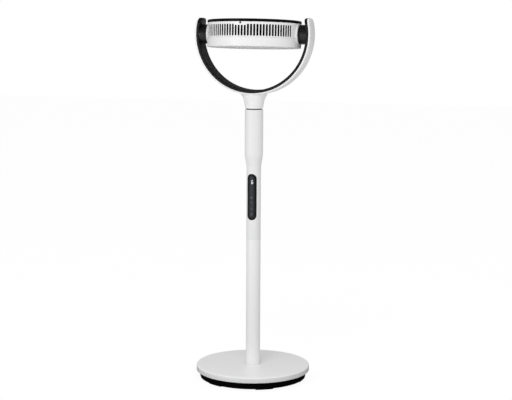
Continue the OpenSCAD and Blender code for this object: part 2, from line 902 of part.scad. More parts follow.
// Small geared motor whose can hangs under z = 0, with its shaft one gear gap along Y
module can_motor() {
    difference() {
        union() {
            translate([0, can_y, -can_len]) cylinder(r = can_r, h = can_len, $fn = 64);
            translate([0, gear_gap, -1]) cylinder(r = nose_r, h = 1 + nose_h, $fn = 48);
            translate([-ear_span / 2, can_y - ear_w / 2, -ear_t]) cube([ear_span, ear_w, ear_t]);
            for (s = [-1, 1]) translate([s * ear_span / 2, can_y, -ear_t])
                cylinder(d = ear_w, h = ear_t, $fn = 32);
            translate([-lug_w / 2, can_y - can_r - lug_out, -can_len + 1])
                cube([lug_w, lug_deep, can_len - lug_cut]);
        }
        translate([0, gear_gap, -shaft_in - 1])
            cylinder(r = can_shaft_r + run, h = big, $fn = 32);
        ear_holes(screw_r + pilot, -ear_t - 1, ear_t + 2);
    }
}

module swivel_motor() {
    color("silver") translate([0, 0, swivel_can_top]) can_motor();
}

module swivel_motor_screws() {
    color("silver")
        for (s = [-1, 1]) translate([s * ear_span / 2, can_y, swivel_can_top - ear_t])
            screw(screw_r - 2 * pilot, can_screw_len);
}

module swivel_bushes() {
    color("ivory")
        for (z = [frame_z, frame_top - bush_h])
            ring(bush_r, spindle_r + run, z, bush_h);
}

module seam_ring() {
    inner = frame_r - seam_wall;
    color("black") {
        ring(seam_d / 2, inner, column_top, seam_h);
        ring(frame_r, inner, frame_top + fit, frame_sink - fit + tiny);
    }
}

module pinion(z) {
    translate([0, gear_gap, z]) linear_extrude(gear_w)
        gear_outline(pinion_teeth, 270 + 180 / pinion_teeth);
}

module swivel_pinion() {
    color("ivory") {
        pinion(gear_z);
        translate([0, gear_gap, swivel_can_top - shaft_in])
            cylinder(r = can_shaft_r, h = gear_z - swivel_can_top + shaft_in + tiny, $fn = 32);
    }
}

module swivel_spindle() {
    color("silver") difference() {
        union() {
            translate([0, 0, spindle_foot])
                cylinder(r = spindle_r, h = flange_z - spindle_foot + tiny);
            translate([0, 0, flange_z]) cylinder(d = spindle_flange_d, h = spindle_flange_t);
        }
        translate([0, 0, spindle_foot - 1]) cylinder(d = spindle_bore_d, h = big, $fn = 48);
        around(3, spindle_screw_reach)
            translate([0, 0, flange_z - 1])
                cylinder(r = screw_r + fit, h = spindle_flange_t + 2, $fn = 32);
    }
}

module swivel_gear() {
    color("ivory") difference() {
        translate([0, 0, gear_z]) linear_extrude(gear_w) gear_outline(gear_teeth, 90);
        translate([0, 0, gear_z - 1]) cylinder(r = spindle_r + press, h = gear_w + 2);
    }
}

module spindle_clip() {
    color("silver") ring(spindle_r + spindle_clip_w, spindle_r + press, clip_z, spindle_clip_t);
}

module spindle_screws() {
    color("silver")
        around(3, spindle_screw_reach)
            translate([0, 0, flange_z]) screw(screw_r - pilot, spindle_flange_t + spindle_screw_bite);
}

// Upright slab as wide as the yoke, with the arm tips' rounded corners
module yoke_side(low, extra) {
    half_w = yoke_w / 2 - extra;
    top = arm_top - extra;
    edge = arm_round - extra;
    rotate([90, 0, 90]) translate([0, 0, -big / 2]) linear_extrude(big) {
        translate([-half_w, low]) square([2 * half_w, top - edge - low]);
        translate([-half_w + edge, low]) square([2 * (half_w - edge), top - low]);
        for (s = [-1, 1]) translate([s * (half_w - edge), top - edge])
            circle(r = edge, $fn = 96);
    }
}

// Turns an outline drawn at a radius, with its height along Y, into a ring on the pivot axis
module yoke_ring() {
    translate([0, 0, pivot_z]) rotate([90, 0, 0]) rotate_extrude($fn = 240) children();
}

function neck_r(t) = neck_d / 2 + neck_flare * t + neck_curl * pow(t, 6);

module yoke_shell() {
    half_w = yoke_w / 2;
    color("white") difference() {
        union() {
            intersection() {
                yoke_ring() {
                    translate([shell_in, -half_w])
                        square([yoke_shell_t - shell_round, yoke_w]);
                    translate([shell_in, -half_w + shell_round])
                        square([yoke_shell_t, yoke_w - 2 * shell_round]);
                    for (s = [-1, 1])
                        intersection() {
                            translate([yoke_r - shell_round, s * (half_w - shell_round)])
                                circle(r = shell_round, $fn = 48);
                            translate([shell_in, -half_w]) square([yoke_shell_t, yoke_w]);
                        }
                }
                yoke_side(0, 0);
            }
            intersection() {
                rotate_extrude($fn = 120)
                    polygon(concat([[0, neck_z]],
                        [for (i = [0 : 14]) [neck_r(i / 14), neck_z + neck_h * i / 14]],
                        [[neck_r(1), yoke_z + 8], [0, yoke_z + 8]]));
                translate([-big / 2, -half_w, 0]) cube([big, yoke_w, big]);
                translate([0, half_w + 1, pivot_z]) rotate([90, 0, 0])
                    difference() {
                        cylinder(r = yoke_r + neck_h + neck_d, h = yoke_w + 2, $fn = 240);
                        translate([0, 0, -1]) cylinder(r = shell_in, h = yoke_w + 4, $fn = 240);
                    }
            }
        }
        translate([0, 0, neck_z - 1]) cylinder(r = neck_socket_r, h = neck_socket + 1);
        cylinder(d = spindle_bore_d + 1, h = yoke_z + 20, $fn = 48);
        around(3, spindle_screw_reach)
            translate([0, 0, flange_z])
                cylinder(r = screw_r - pilot, h = spindle_flange_t + spindle_screw_bite + 2, $fn = 32);
    }
}

module yoke_liner() {
    edge = liner_round;
    half_w = yoke_w / 2;
    color([0.12, 0.12, 0.13]) difference() {
        intersection() {
            yoke_ring() {
                translate([liner_in + edge, -half_w]) square([yoke_liner_t - edge, yoke_w]);
                translate([liner_in, -half_w + edge])
                    square([yoke_liner_t, yoke_w - 2 * edge]);
                for (s = [-1, 1]) translate([liner_in + edge, s * (half_w - edge)])
                    circle(r = edge, $fn = 32);
            }
            yoke_side(0, 0);
        }
        translate([0, 0, pivot_z]) {
            along_x(-big) cylinder(r = liner_hole_r, h = 2 * big, $fn = 64);
            for (s = [0, 180]) rotate([0, 0, s]) boss_screw_places()
                cylinder(r = screw_r - pilot, h = big, $fn = 32);
        }
    }
}

module boss_screw_places() {
    along_x(web_x) around(4, boss_screw_reach, 45) children();
}

module boss() {
    translate([0, 0, pivot_z]) difference() {
        intersection() {
            along_x(boss_x) cylinder(r = boss_r, h = big);
            translate([0, yoke_w, 0]) rotate([90, 0, 0])
                cylinder(r = boss_end, h = 2 * yoke_w, $fn = 240);
        }
        along_x(boss_x - 1) cylinder(r = boss_r - boss_wall, h = web_x - boss_x + 1);
        along_x(boss_x - 1) cylinder(r = hub_r + press, h = big, $fn = 64);
        boss_screw_places() translate([0, 0, -1]) cylinder(r = screw_r + fit, h = big, $fn = 32);
    }
}

module left_boss() {
    color([0.12, 0.12, 0.13]) rotate([0, 0, 180]) boss();
}

module right_boss() {
    color([0.12, 0.12, 0.13]) boss();
}

module boss_screws() {
    color("silver")
        for (s = [0, 180]) rotate([0, 0, s]) translate([0, 0, pivot_z])
            boss_screw_places() screw(screw_r - 2 * pilot, boss_screw_len);
}

module left_bush() {
    color("ivory") translate([0, 0, pivot_z]) rotate([0, 0, 180]) along_x(0)
        ring(hub_r, pin_r + run, tilt_gear_x + gear_w, clip_x - tilt_gear_x - gear_w - slide);
}

// Fixed gear on the yoke that the head's pinion climbs round; its hub is the right bush
module tilt_gear() {
    color("ivory") translate([0, 0, pivot_z]) rotate([-head_lean, 0, 0]) along_x(0)
        difference() {
            union() {
                translate([0, 0, tilt_gear_x]) linear_extrude(gear_w)
                    rotate([0, 0, 90]) gear_outline(gear_teeth, 90);
                translate([0, 0, tilt_gear_x])
                    cylinder(r = hub_r, h = clip_x - slide - tilt_gear_x, $fn = 64);
            }
            translate([0, 0, tilt_gear_x - 1]) cylinder(r = pin_r + run, h = big, $fn = 64);
        }
}

module disc_screw_places() {
    along_x(0) around(4, disc_screw_reach, 45) children();
}

module trunnion() {
    difference() {
        union() {
            along_x(disc_x) cylinder(d = disc_d, h = disc_t);
            along_x(collar_in_x) cylinder(r = pin_r, h = pin_end - collar_in_x, $fn = 64);
        }
        along_x(collar_in_x - 1) cylinder(d = pin_bore_d, h = big, $fn = 48);
        disc_screw_places() translate([0, 0, disc_x - 1])
            cylinder(r = screw_r, h = disc_t + 2, $fn = 32);
    }
}

module left_trunnion() {
    color([0.12, 0.12, 0.13]) in_head() rotate([0, 0, 180]) trunnion();
}

module right_trunnion() {
    color([0.12, 0.12, 0.13]) in_head() difference() {
        trunnion();
        pinion_place() translate([0, 0, disc_x - 1])
            cylinder(r = can_shaft_r + fit, h = disc_t + 2, $fn = 32);
    }
}

module trunnion_screws() {
    color("silver") in_head()
        for (s = [0, 180]) rotate([0, 0, s]) disc_screw_places()
            translate([0, 0, collar_in_x]) screw(screw_r - pilot, disc_end - collar_in_x - screw_short);
}

module trunnion_clips() {
    color("silver") in_head()
        for (s = [0, 180]) rotate([0, 0, s]) along_x(0)
            ring(pin_r + clip_w, pin_r + press, clip_x, clip_t);
}

// The drive motor hangs behind the pivot, so its shaft is below the pivot axis
module pinion_place() {
    along_x(0) rotate([0, 0, 270]) translate([0, gear_gap, 0]) children();
}

module tilt_motor() {
    color("silver") in_head() along_x(tilt_can_x) rotate([0, 0, 270]) can_motor();
}

module tilt_motor_screws() {
    color("silver") in_head() along_x(tilt_can_x - ear_t) rotate([0, 0, 270])
        for (s = [-1, 1]) translate([s * ear_span / 2, can_y, 0])
            screw(screw_r - 2 * pilot, can_screw_len);
}

module tilt_pinion() {
    color("ivory") in_head() along_x(0) rotate([0, 0, 270]) {
        pinion(tilt_gear_x);
        translate([0, gear_gap, tilt_can_x - shaft_in])
            cylinder(r = can_shaft_r, h = tilt_gear_x - tilt_can_x + shaft_in + tiny, $fn = 32);
    }
}

module collar_cut(extra) {
    for (s = [0, 180]) rotate([0, 0, s]) along_x(collar_in_x - slot_deep)
        cylinder(r = collar_d / 2 + extra, h = big, $fn = 96);
}

// One slot through the wall, from w = low to w = high
module slot(low, high) {
    translate([0, -inner_r + slot_deep, (low + high) / 2]) rotate([90, 0, 0])
        linear_extrude(head_wall + 2 * slot_deep) stadium(slot_w, high - low);
}

module front_housing() {
    step = 360 / slot_places;
    places = [for (k = [0 : slot_places - 1]) (k + 0.5) * step];
    color("white") in_head() difference() {
        union() {
            ring(head_r, inner_r, front_start, ring_start - front_start);
            difference() {
                ring(inner_r + tiny, inner_r - ledge_w, front_start, ledge_t);
                for (s = [0, 180]) rotate([0, 0, s]) along_x(collar_in_x - 20)
                    cylinder(d = collar_d, h = 20);
            }
            intersection() {
                for (s = [0, 180]) rotate([0, 0, s]) along_x(collar_in_x)
                    cylinder(d = collar_d, h = collar_t);
                translate([-big / 2, -big / 2, -big + ring_start]) cube(big);
            }
        }
        for (a = places)
            if (abs(sin(a)) < cos(slot_free))
                rotate([0, 0, a]) slot(slot_low, is_short(a) ? slot_high - slot_cut : slot_high);
        for (s = [0, 180]) rotate([0, 0, s]) {
            along_x(collar_in_x - 1) cylinder(r = pin_r + press, h = big, $fn = 64);
            disc_screw_places() translate([0, 0, collar_in_x - 1])
                cylinder(r = screw_r + fit, h = big, $fn = 32);
        }
        along_x(collar_in_x - 1) rotate([0, 0, 270]) {
            translate([0, gear_gap, 0]) cylinder(r = can_shaft_r + fit, h = big, $fn = 32);
            translate([0, gear_gap, 0]) cylinder(r = nose_r + fit, h = nose_h + 1, $fn = 48);
            ear_holes(screw_r - pilot, 0, can_screw_len + 1);
        }
        translate([0, 0, grille_screw_z]) rotate([90, 0, 0])
            cylinder(r = grille_screw_r + skin_gap, h = big, $fn = 32);
        around(4, inner_r - ledge_w / 2, 45)
            translate([0, 0, front_start - 1])
                cylinder(r = tiny_screw_r + fit / 2, h = ledge_t + 2, $fn = 24);
    }
}

// The slots nearest the front, under the grille screw, are the short ones
function is_short(a) = cos(a) > cos(short_slots / 2 * 360 / slot_places);

module housing_screws() {
    color("silver") in_head()
        around(4, inner_r - ledge_w / 2, 45)
            translate([0, 0, front_start]) screw(tiny_screw_r, ledge_t + flange_t - screw_short);
}

module rear_housing() {
    color("white") in_head() difference() {
        union() {
            difference() {
                mirror([0, 0, 1]) translate([0, 0, half - rear_wall_h])
                    rotate_extrude($fn = 240)
                        rounded_disc_outline(head_r, rear_wall_h, rear_round);
                translate([0, 0, rear_in]) cylinder(r = inner_r, h = big, $fn = 180);
            }
            around(4, post_reach, 45)
                translate([0, 0, rear_in - tiny]) cylinder(r = rear_post_r, h = rear_post_h, $fn = 32);
        }
        translate([0, 0, -half - 1]) cylinder(r = opening_r, h = rear_rim_t + 2, $fn = 180);
        around(4, post_reach, 45)
            translate([0, 0, -half - 1]) cylinder(r = screw_r + fit, h = rear_wall_h, $fn = 32);
        around(4, post_reach, 45)
            translate([0, 0, -half - 1])
                cylinder(r = screw_head_r + fit, h = rear_screw_sink + 1, $fn = 32);
        collar_cut(fit);
    }
}

module rear_screws() {
    color("silver") in_head()
        around(4, post_reach, 45)
            translate([0, 0, -half + rear_screw_sink]) screw(screw_r, rear_screw_len);
}

module front_grille() {
    skirt_r = inner_r - fit;
    hub = front_hub_d / 2;
    rim_in = head_r - ring_w;
    bar_step = (rim_in - hub) / (front_bars + 1);
    color("black") in_head() difference() {
        union() {
            difference() {
                translate([0, 0, ring_start]) rotate_extrude($fn = 240)
                    rounded_disc_outline(head_r, ring_h, ring_round);
                translate([0, 0, ring_start - 1]) cylinder(r = rim_in, h = ring_h + 2, $fn = 180);
            }
            difference() {
                ring(skirt_r, skirt_r - skirt_t, ring_start - skirt_h, skirt_h);
                collar_cut(fit);
            }
            ring(skirt_r, skirt_r - skirt_t, ring_start, 1);
            translate([0, 0, rib_z]) cylinder(r = hub, h = front_rib_h);
            for (k = [1 : front_bars])
                ring(hub + k * bar_step + front_rib_w / 2, hub + k * bar_step - front_rib_w / 2,
                    rib_z + rib_sink, front_rib_h - 2 * rib_sink);
            translate([0, 0, rib_z]) linear_extrude(front_rib_h)
                for (k = [0 : front_ribs - 1]) rotate([0, 0, k * 360 / front_ribs])
                    front_rib(hub - rib_bury, rim_in + rib_bury);
        }
        translate([0, 0, grille_screw_z]) rotate([90, 0, 0])
            cylinder(r = screw_r - pilot, h = big, $fn = 32);
    }
}

// One curved rib as an arc that runs out from the hub to the rim
module front_rib(from, to) {
    reach = (from + to) / 2;
    side = sqrt(front_rib_curve * front_rib_curve - reach * reach / 4);
    intersection() {
        translate([reach / 2, -side]) difference() {
            circle(r = front_rib_curve + front_rib_w / 2, $fn = 180);
            circle(r = front_rib_curve - front_rib_w / 2, $fn = 180);
        }
        difference() {
            circle(r = to, $fn = 180);
            circle(r = from, $fn = 90);
        }
        translate([0, -to]) square([to + 1, 2 * to]);
    }
}

module grille_cap() {
    cap_r = cap_d / 2;
    color("dimgray") in_head() translate([0, 0, rib_z + front_rib_h])
        rotate_extrude($fn = 96)
            polygon(concat([[0, 0]],
                [for (i = [0 : 6]) [cap_r - i / 6 * cap_r, cap_h * (1 - pow(1 - i / 6, 2.4))]]));
}

module grille_screw() {
    color("dimgray") in_head()
        translate([0, -inner_r - grille_screw_rise, grille_screw_z]) rotate([-90, 0, 0]) {
            cylinder(r = screw_r - pilot, h = skirt_t + 3 * grille_screw_rise, $fn = 32);
            translate([0, 0, -grille_screw_h])
                cylinder(r = grille_screw_r, h = grille_screw_h + tiny, $fn = 32);
        }
}

module rear_grille() {
    hub = rear_hub_d / 2;
    rim_in = opening_r - rear_ring_w;
    bar_step = (rim_in - hub) / (rear_bars + 1);
    color("white") in_head() {
        ring(opening_r - fit, rim_in, rear_rib_z, rear_rib_h);
        ring(rear_lip_r, rim_in, rear_in + seat_gap, rear_lip_t);
        translate([0, 0, rear_rib_z]) cylinder(r = hub, h = rear_rib_h);
        for (k = [1 : rear_bars])
            ring(hub + k * bar_step + rear_rib_w / 2, hub + k * bar_step - rear_rib_w / 2,
                rear_rib_z + rib_sink, rear_rib_h - 2 * rib_sink);
        translate([0, 0, rear_rib_z]) linear_extrude(rear_rib_h)
            for (k = [0 : rear_ribs - 1]) rotate([0, 0, k * 360 / rear_ribs])
                translate([hub - rib_bury, -rear_rib_w / 2])
                    square([rim_in - hub + 2 * rib_bury, rear_rib_w]);
    }
}

module air_duct() {
    post_z = rear_in + rear_post_h + fit / 3;
    color("black") in_head() difference() {
        union() {
            ring(duct_r + duct_wall, duct_r, motor_z, duct_front - motor_z);
            ring(inner_r - fit, duct_r + 1, flange_start, flange_t);
            around(4, post_reach, 45)
                translate([0, 0, post_z])
                    cylinder(r = rear_post_r, h = flange_start + tiny - post_z, $fn = 32);
            translate([0, 0, motor_z - cup_floor])
                cylinder(r = cup_r, h = motor_len + cup_floor - cup_short);
            for (k = [0 : vane_count - 1]) rotate([0, 0, k * 360 / vane_count + vane_turn])
                translate([cup_r - 1, -vane_t / 2, motor_z])
                    cube([duct_r - cup_r + 2, vane_t, vane_h]);
        }
        translate([0, 0, motor_z]) cylinder(r = motor_r + fit, h = motor_len + 2);
        translate([0, 0, motor_z - cup_floor - 1])
            cylinder(r = bearing_r + cup_hole_w, h = cup_floor + 2, $fn = 48);
        around(4, post_reach, 45)
            translate([0, 0, rear_in + rear_post_h - 1])
                cylinder(r = screw_r + press, h = rear_screw_len, $fn = 32);
        around(4, inner_r - ledge_w / 2, 45)
            translate([0, 0, flange_start - 1])
                cylinder(r = tiny_screw_r + press, h = flange_t + 2, $fn = 24);
        tilt_can_room();
    }
}

// Room for the tilt motor between the duct and the right collar
module tilt_can_room() {
    along_x(tilt_can_x - can_len - fit) rotate([0, 0, 270]) {
        translate([0, can_y, 0]) cylinder(r = can_r + fit, h = big, $fn = 64);
        translate([-lug_w / 2 - fit, can_y - can_r - lug_out - fit, 0])
            cube([lug_w + 2 * fit, lug_deep, can_len]);
        translate([-ear_span / 2 - ear_w, can_y - ear_w / 2 - fit, can_len - ear_w])
            cube([ear_span + 2 * ear_w, ear_w + 2 * fit, big]);
    }
    for (s = [0, 180]) rotate([0, 0, s]) along_x(collar_in_x - screw_head_room)
        cylinder(r = collar_d / 2 + fit, h = big, $fn = 96);
}

module motor_case() {
    color("silver") in_head() difference() {
        union() {
            ring(motor_r, motor_r - motor_wall, motor_z, motor_len - cover_t);
            translate([0, 0, motor_z]) cylinder(r = motor_r, h = motor_wall);
            translate([0, 0, motor_z]) cylinder(r = bearing_r + bearing_wall, h = bearing_w);
        }
        translate([0, 0, motor_z + bearing_in])
            cylinder(r = bearing_r + press, h = motor_len, $fn = 64);
        translate([0, 0, motor_z - 1]) cylinder(r = shaft_r + shaft_gap, h = motor_len, $fn = 48);
    }
}

module motor_coils() {
    color("peru") in_head()
        ring(motor_r - motor_wall - press, rotor_d / 2 + coil_gap, motor_z + motor_wall + cover_t, coil_h);
}

module motor_bearings() {
    color("silver") in_head()
        for (z = [motor_z + bearing_in, motor_front - bearing_in - bearing_w])
            ring(bearing_r, shaft_r + run, z, bearing_w);
}

module motor_cover() {
    color("silver") in_head() difference() {
        union() {
            translate([0, 0, motor_front - cover_t]) cylinder(r = motor_r, h = cover_t);
            translate([0, 0, motor_front - bearing_w])
                cylinder(r = bearing_r + bearing_wall, h = bearing_w);
        }
        translate([0, 0, motor_z - bearing_in])
            cylinder(r = bearing_r + press, h = motor_len, $fn = 64);
        translate([0, 0, motor_z]) cylinder(r = shaft_r + shaft_gap, h = motor_len + 1, $fn = 48);
    }
}

module motor_shaft() {
    shaft_z = motor_z + bearing_in + skin_gap;
    color("silver") in_head() translate([0, 0, shaft_z])
        cylinder(r = shaft_r, h = fan_front + nut_h - nut_cover - shaft_z, $fn = 48);
}

module motor_rotor() {
    color("dimgray") in_head()
        ring(rotor_d / 2, shaft_r + press, motor_z + bearing_w + rotor_gap,
            motor_len - 2 * bearing_w - 2 * rotor_gap);
}

// Outline of a blade seen along the axis
function blade_edge(side) = [for (i = [0 : blade_steps])
    let (root = hub_d / 2 - rib_bury, r = root + (fan_d / 2 - root) * i / blade_steps)
    polar(r, blade_sweep * i / blade_steps + side * blade_t / 2 / r * 180 / PI)];

module fan_wheel() {
    edge = concat(blade_edge(-1), [for (i = [blade_steps : -1 : 0]) blade_edge(1)[i]]);
    color([0.2, 0.2, 0.22]) in_head() {
        difference() {
            union() {
                difference() {
                    translate([0, 0, fan_z]) rotate_extrude($fn = 96)
                        rounded_disc_outline(hub_d / 2, hub_h, hub_round);
                    translate([0, 0, fan_z - 1])
                        cylinder(r = hub_d / 2 - hub_wall, h = hub_h - hub_wall - 1);
                }
                translate([0, 0, fan_z]) cylinder(r = shaft_r + hub_core_w, h = hub_h - 1, $fn = 48);
            }
            translate([0, 0, fan_z - 1]) cylinder(r = shaft_r + press, h = big, $fn = 48);
        }
        for (k = [0 : blade_count - 1]) rotate([0, 0, k * 360 / blade_count])
            translate([0, 0, fan_z - blade_lag])
                linear_extrude(blade_h, twist = blade_turn, slices = 10, segments = 18)
                    polygon(edge);
    }
}

module fan_nut() {
    color("silver") in_head() difference() {
        union() {
            translate([0, 0, fan_front]) cylinder(r = nut_r, h = nut_h - nut_dome, $fn = 6);
            translate([0, 0, fan_front]) cylinder(r = nut_r * 0.8, h = nut_h, $fn = 48);
        }
        translate([0, 0, fan_front - 1])
            cylinder(r = shaft_r + press, h = nut_h + 1 - nut_cover + skin_gap, $fn = 48);
    }
}

foot_pads();
base_pan();
pan_screws();
ballast_weight();
dc_inlet();
base_plate();
tube_socket();
socket_screws();
post_tube();
tube_joiner();
joiner_screws();
main_cable();
control_column();
control_panel();
circuit_board();
digit_display();
touch_keys();
swivel_frame();
frame_screws();
swivel_motor();
swivel_motor_screws();
swivel_bushes();
seam_ring();
swivel_pinion();
swivel_spindle();
swivel_gear();
spindle_clip();
spindle_screws();
yoke_shell();
yoke_liner();
left_boss();
right_boss();
boss_screws();
left_bush();
tilt_gear();
left_trunnion();
right_trunnion();
trunnion_screws();
trunnion_clips();
tilt_motor();
tilt_motor_screws();
tilt_pinion();
front_housing();
rear_housing();
housing_screws();
rear_screws();
front_grille();
grille_cap();
grille_screw();
rear_grille();
air_duct();
motor_case();
motor_coils();
motor_bearings();
motor_cover();
motor_shaft();
motor_rotor();
fan_wheel();
fan_nut();
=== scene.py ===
import math
import bmesh
import bpy
from mathutils import Matrix, Vector


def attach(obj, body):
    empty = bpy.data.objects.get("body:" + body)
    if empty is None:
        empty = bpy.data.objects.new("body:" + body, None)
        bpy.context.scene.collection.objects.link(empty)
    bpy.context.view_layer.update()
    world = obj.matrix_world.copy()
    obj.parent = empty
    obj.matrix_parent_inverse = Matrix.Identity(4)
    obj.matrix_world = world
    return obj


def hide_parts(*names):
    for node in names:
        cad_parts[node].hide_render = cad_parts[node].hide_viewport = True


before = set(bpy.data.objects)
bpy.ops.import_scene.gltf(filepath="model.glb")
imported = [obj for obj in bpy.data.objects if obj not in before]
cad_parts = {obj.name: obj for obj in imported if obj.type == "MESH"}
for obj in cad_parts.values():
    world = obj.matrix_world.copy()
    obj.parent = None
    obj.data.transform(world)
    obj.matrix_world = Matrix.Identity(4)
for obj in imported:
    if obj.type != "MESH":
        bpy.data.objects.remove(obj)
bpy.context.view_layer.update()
scene = bpy.context.scene
mm = 0.001  # pieces are modelled in millimetres and finished in metres
weld = 0.002  # points nearer than this become one
close = 0.001  # what counts as nothing when two lengths are compared
onCut = 0.0001  # points this near a cut lie on it
pivotHeight = 907.1
headLean = math.radians(2.9)
pivotPlace = Matrix.Translation((0, 0, pivotHeight))
headPlace = pivotPlace @ Matrix.Rotation(-headLean, 4, "X")
alongX = Matrix.Rotation(math.radians(90), 4, "Y")
upright = Matrix.Rotation(math.radians(90), 4, "X")
print("frame loaded")


# Sets inputs of a node, or links them where the value is another node's output
def feed(tree, inputs, values):
    for name, value in values.items():
        if isinstance(value, bpy.types.NodeSocket):
            tree.links.new(value, inputs[name])
        else:
            inputs[name].default_value = value


def addNode(tree, kind, values=None, **settings):
    node = tree.nodes.new("ShaderNode" + kind)
    for name, value in settings.items():
        setattr(node, name, value)
    feed(tree, node.inputs, values or {})
    return node


def addMath(tree, operation, *values, **settings):
    node = addNode(tree, "Math", dict(enumerate(values)), operation=operation, **settings)
    return node.outputs[0]


def addNoise(tree, place, scale, detail, rough=0.5):
    return addNode(tree, "TexNoise", {"Vector": place, "Scale": scale, "Detail": detail,
                                      "Roughness": rough}).outputs["Fac"]


def mixTones(tree, factor, first, second):
    return addNode(tree, "Mix", {"Factor": factor, "A": first, "B": second},
                   data_type="RGBA").outputs["Result"]


def mapRange(tree, value, start, end, low=0.0, high=1.0, kind="LINEAR"):
    return addNode(tree, "MapRange", {"Value": value, "From Min": start, "From Max": end,
                                      "To Min": low, "To Max": high},
                   interpolation_type=kind).outputs["Result"]


def objectPlace(tree):
    return addNode(tree, "TexCoord").outputs["Object"]


def grey(value):
    return (value, value, value, 1)


number, tone = "NodeSocketFloat", "NodeSocketColor"


# Shader groups
def newGroup(name, inputs, outputs):
    tree = bpy.data.node_groups.new(name, "ShaderNodeTree")
    for label, value in inputs.items():
        kind = number if isinstance(value, float) else tone
        socket = tree.interface.new_socket(label, in_out="INPUT", socket_type=kind)
        socket.default_value = value
    for label, kind in outputs.items():
        tree.interface.new_socket(label, in_out="OUTPUT", socket_type=kind)
    given = tree.nodes.new("NodeGroupInput").outputs
    return tree, given, tree.nodes.new("NodeGroupOutput").inputs


# Fine mould grain, a slow wave in the surface and a slight drift of tone and gloss
def makeSkinGroup():
    tree, given, result = newGroup(
        "surfaceSkin",
        {"Color": grey(0.8), "Tint": grey(0.75), "Roughness": 0.4, "Spread": 0.08,
         "Grain Scale": 2600.0, "Peel Scale": 420.0, "Peel": 0.5, "Drift Scale": 22.0},
        {"Color": tone, "Roughness": number, "Height": number})
    place = objectPlace(tree)
    drift = addNoise(tree, place, given["Drift Scale"], detail=3.0, rough=0.55)
    grain = addNoise(tree, place, given["Grain Scale"], detail=2.0, rough=0.6)
    peel = addNoise(tree, place, given["Peel Scale"], detail=1.0, rough=0.4)
    centred = addMath(tree, "SUBTRACT", drift, 0.5)
    height = addNode(tree, "Mix", {"Factor": given["Peel"], "A": grain, "B": peel})
    feed(tree, result, {
        "Color": mixTones(tree, drift, given["Color"], given["Tint"]),
        "Roughness": addMath(tree, "MULTIPLY_ADD", centred, given["Spread"],
                             given["Roughness"]),
        "Height": height.outputs["Result"]})
    return tree


# Dust that settles on faces that look up, as a mask
def makeDustGroup():
    tree, given, result = newGroup("settledDust", {"Amount": 0.2, "Speck Scale": 900.0},
                                   {"Mask": number})
    normal = addNode(tree, "NewGeometry").outputs["Normal"]
    upward = addNode(tree, "SeparateXYZ", {0: normal}).outputs["Z"]
    facing = mapRange(tree, upward, start=0.25, end=1.0)
    speck = addNoise(tree, objectPlace(tree), given["Speck Scale"], detail=4.0, rough=0.7)
    both = addMath(tree, "MULTIPLY", facing, mapRange(tree, speck, start=0.35, end=0.8))
    feed(tree, result, {"Mask": addMath(tree, "MULTIPLY", both, given["Amount"],
                                        use_clamp=True)})
    return tree


# Rubbed corners, as a mask from how pointed the surface is
def makeEdgeGroup():
    tree, given, result = newGroup("rubbedEdges", {"Amount": 0.3}, {"Mask": number})
    pointed = addNode(tree, "NewGeometry").outputs["Pointiness"]
    edge = mapRange(tree, pointed, start=0.52, end=0.62)
    feed(tree, result, {"Mask": addMath(tree, "MULTIPLY", edge, given["Amount"],
                                        use_clamp=True)})
    return tree


# Lines round an axis or along it, such as turning marks, as a height
def makeTurnedGroup():
    tree, given, result = newGroup("turnedMarks", {"Scale": 900.0, "Stretch": 0.04},
                                   {"Height": number})
    split = addNode(tree, "SeparateXYZ", {0: objectPlace(tree)}).outputs
    joined = {axis: addMath(tree, "MULTIPLY", split[axis], given["Stretch"]) for axis in "XY"}
    joined["Z"] = split["Z"]
    place = addNode(tree, "CombineXYZ", joined).outputs[0]
    feed(tree, result, {"Height": addNoise(tree, place, given["Scale"], detail=2.0)})
    return tree


groups = {"skin": makeSkinGroup(), "dust": makeDustGroup(), "edges": makeEdgeGroup(),
          "turned": makeTurnedGroup()}


def newMaterial(name):
    material = bpy.data.materials.new(name)
    material.use_nodes = True
    tree = material.node_tree
    return material, tree, tree.nodes["Principled BSDF"].inputs


# One finish of moulded, painted or plated material. Edge and Dust give how much and how pale
def makeFinish(name, values):
    material, tree, shader = newMaterial(name)

    def addGroup(key, settings):
        return addNode(tree, "Group", settings, node_tree=groups[key]).outputs

    skin = {label: (*values[label], 1) for label in ("Color", "Tint")}
    for label in ("Roughness", "Spread", "Grain Scale", "Peel Scale", "Peel", "Drift Scale"):
        if label in values:
            skin[label] = values[label]
    skin = addGroup("skin", skin)
    colour, rough, height = skin["Color"], skin["Roughness"], skin["Height"]
    if "Edge" in values:
        amount, pale = values["Edge"]
        mask = addGroup("edges", {"Amount": amount})["Mask"]
        colour = mixTones(tree, mask, colour, grey(pale))
    if "Dust" in values:
        amount, pale = values["Dust"]
        mask = addGroup("dust", {"Amount": amount})["Mask"]
        colour = mixTones(tree, mask, colour, grey(pale))
        rough = addMath(tree, "MULTIPLY_ADD", mask, 0.5, rough)  # dust is dull
    if "Turned" in values:
        height = addGroup("turned", {"Scale": values["Turned"]})["Height"]
    bump = addNode(tree, "Bump", {"Strength": values["Bump"], "Height": height,
                                  "Distance": values.get("Depth", 0.0001)})
    feed(tree, shader, {"Base Color": colour, "Roughness": rough,
                        "Normal": bump.outputs["Normal"],
                        "Metallic": values.get("Metallic", 0.0),
                        "Specular IOR Level": values.get("Level", 0.5)})
    return material


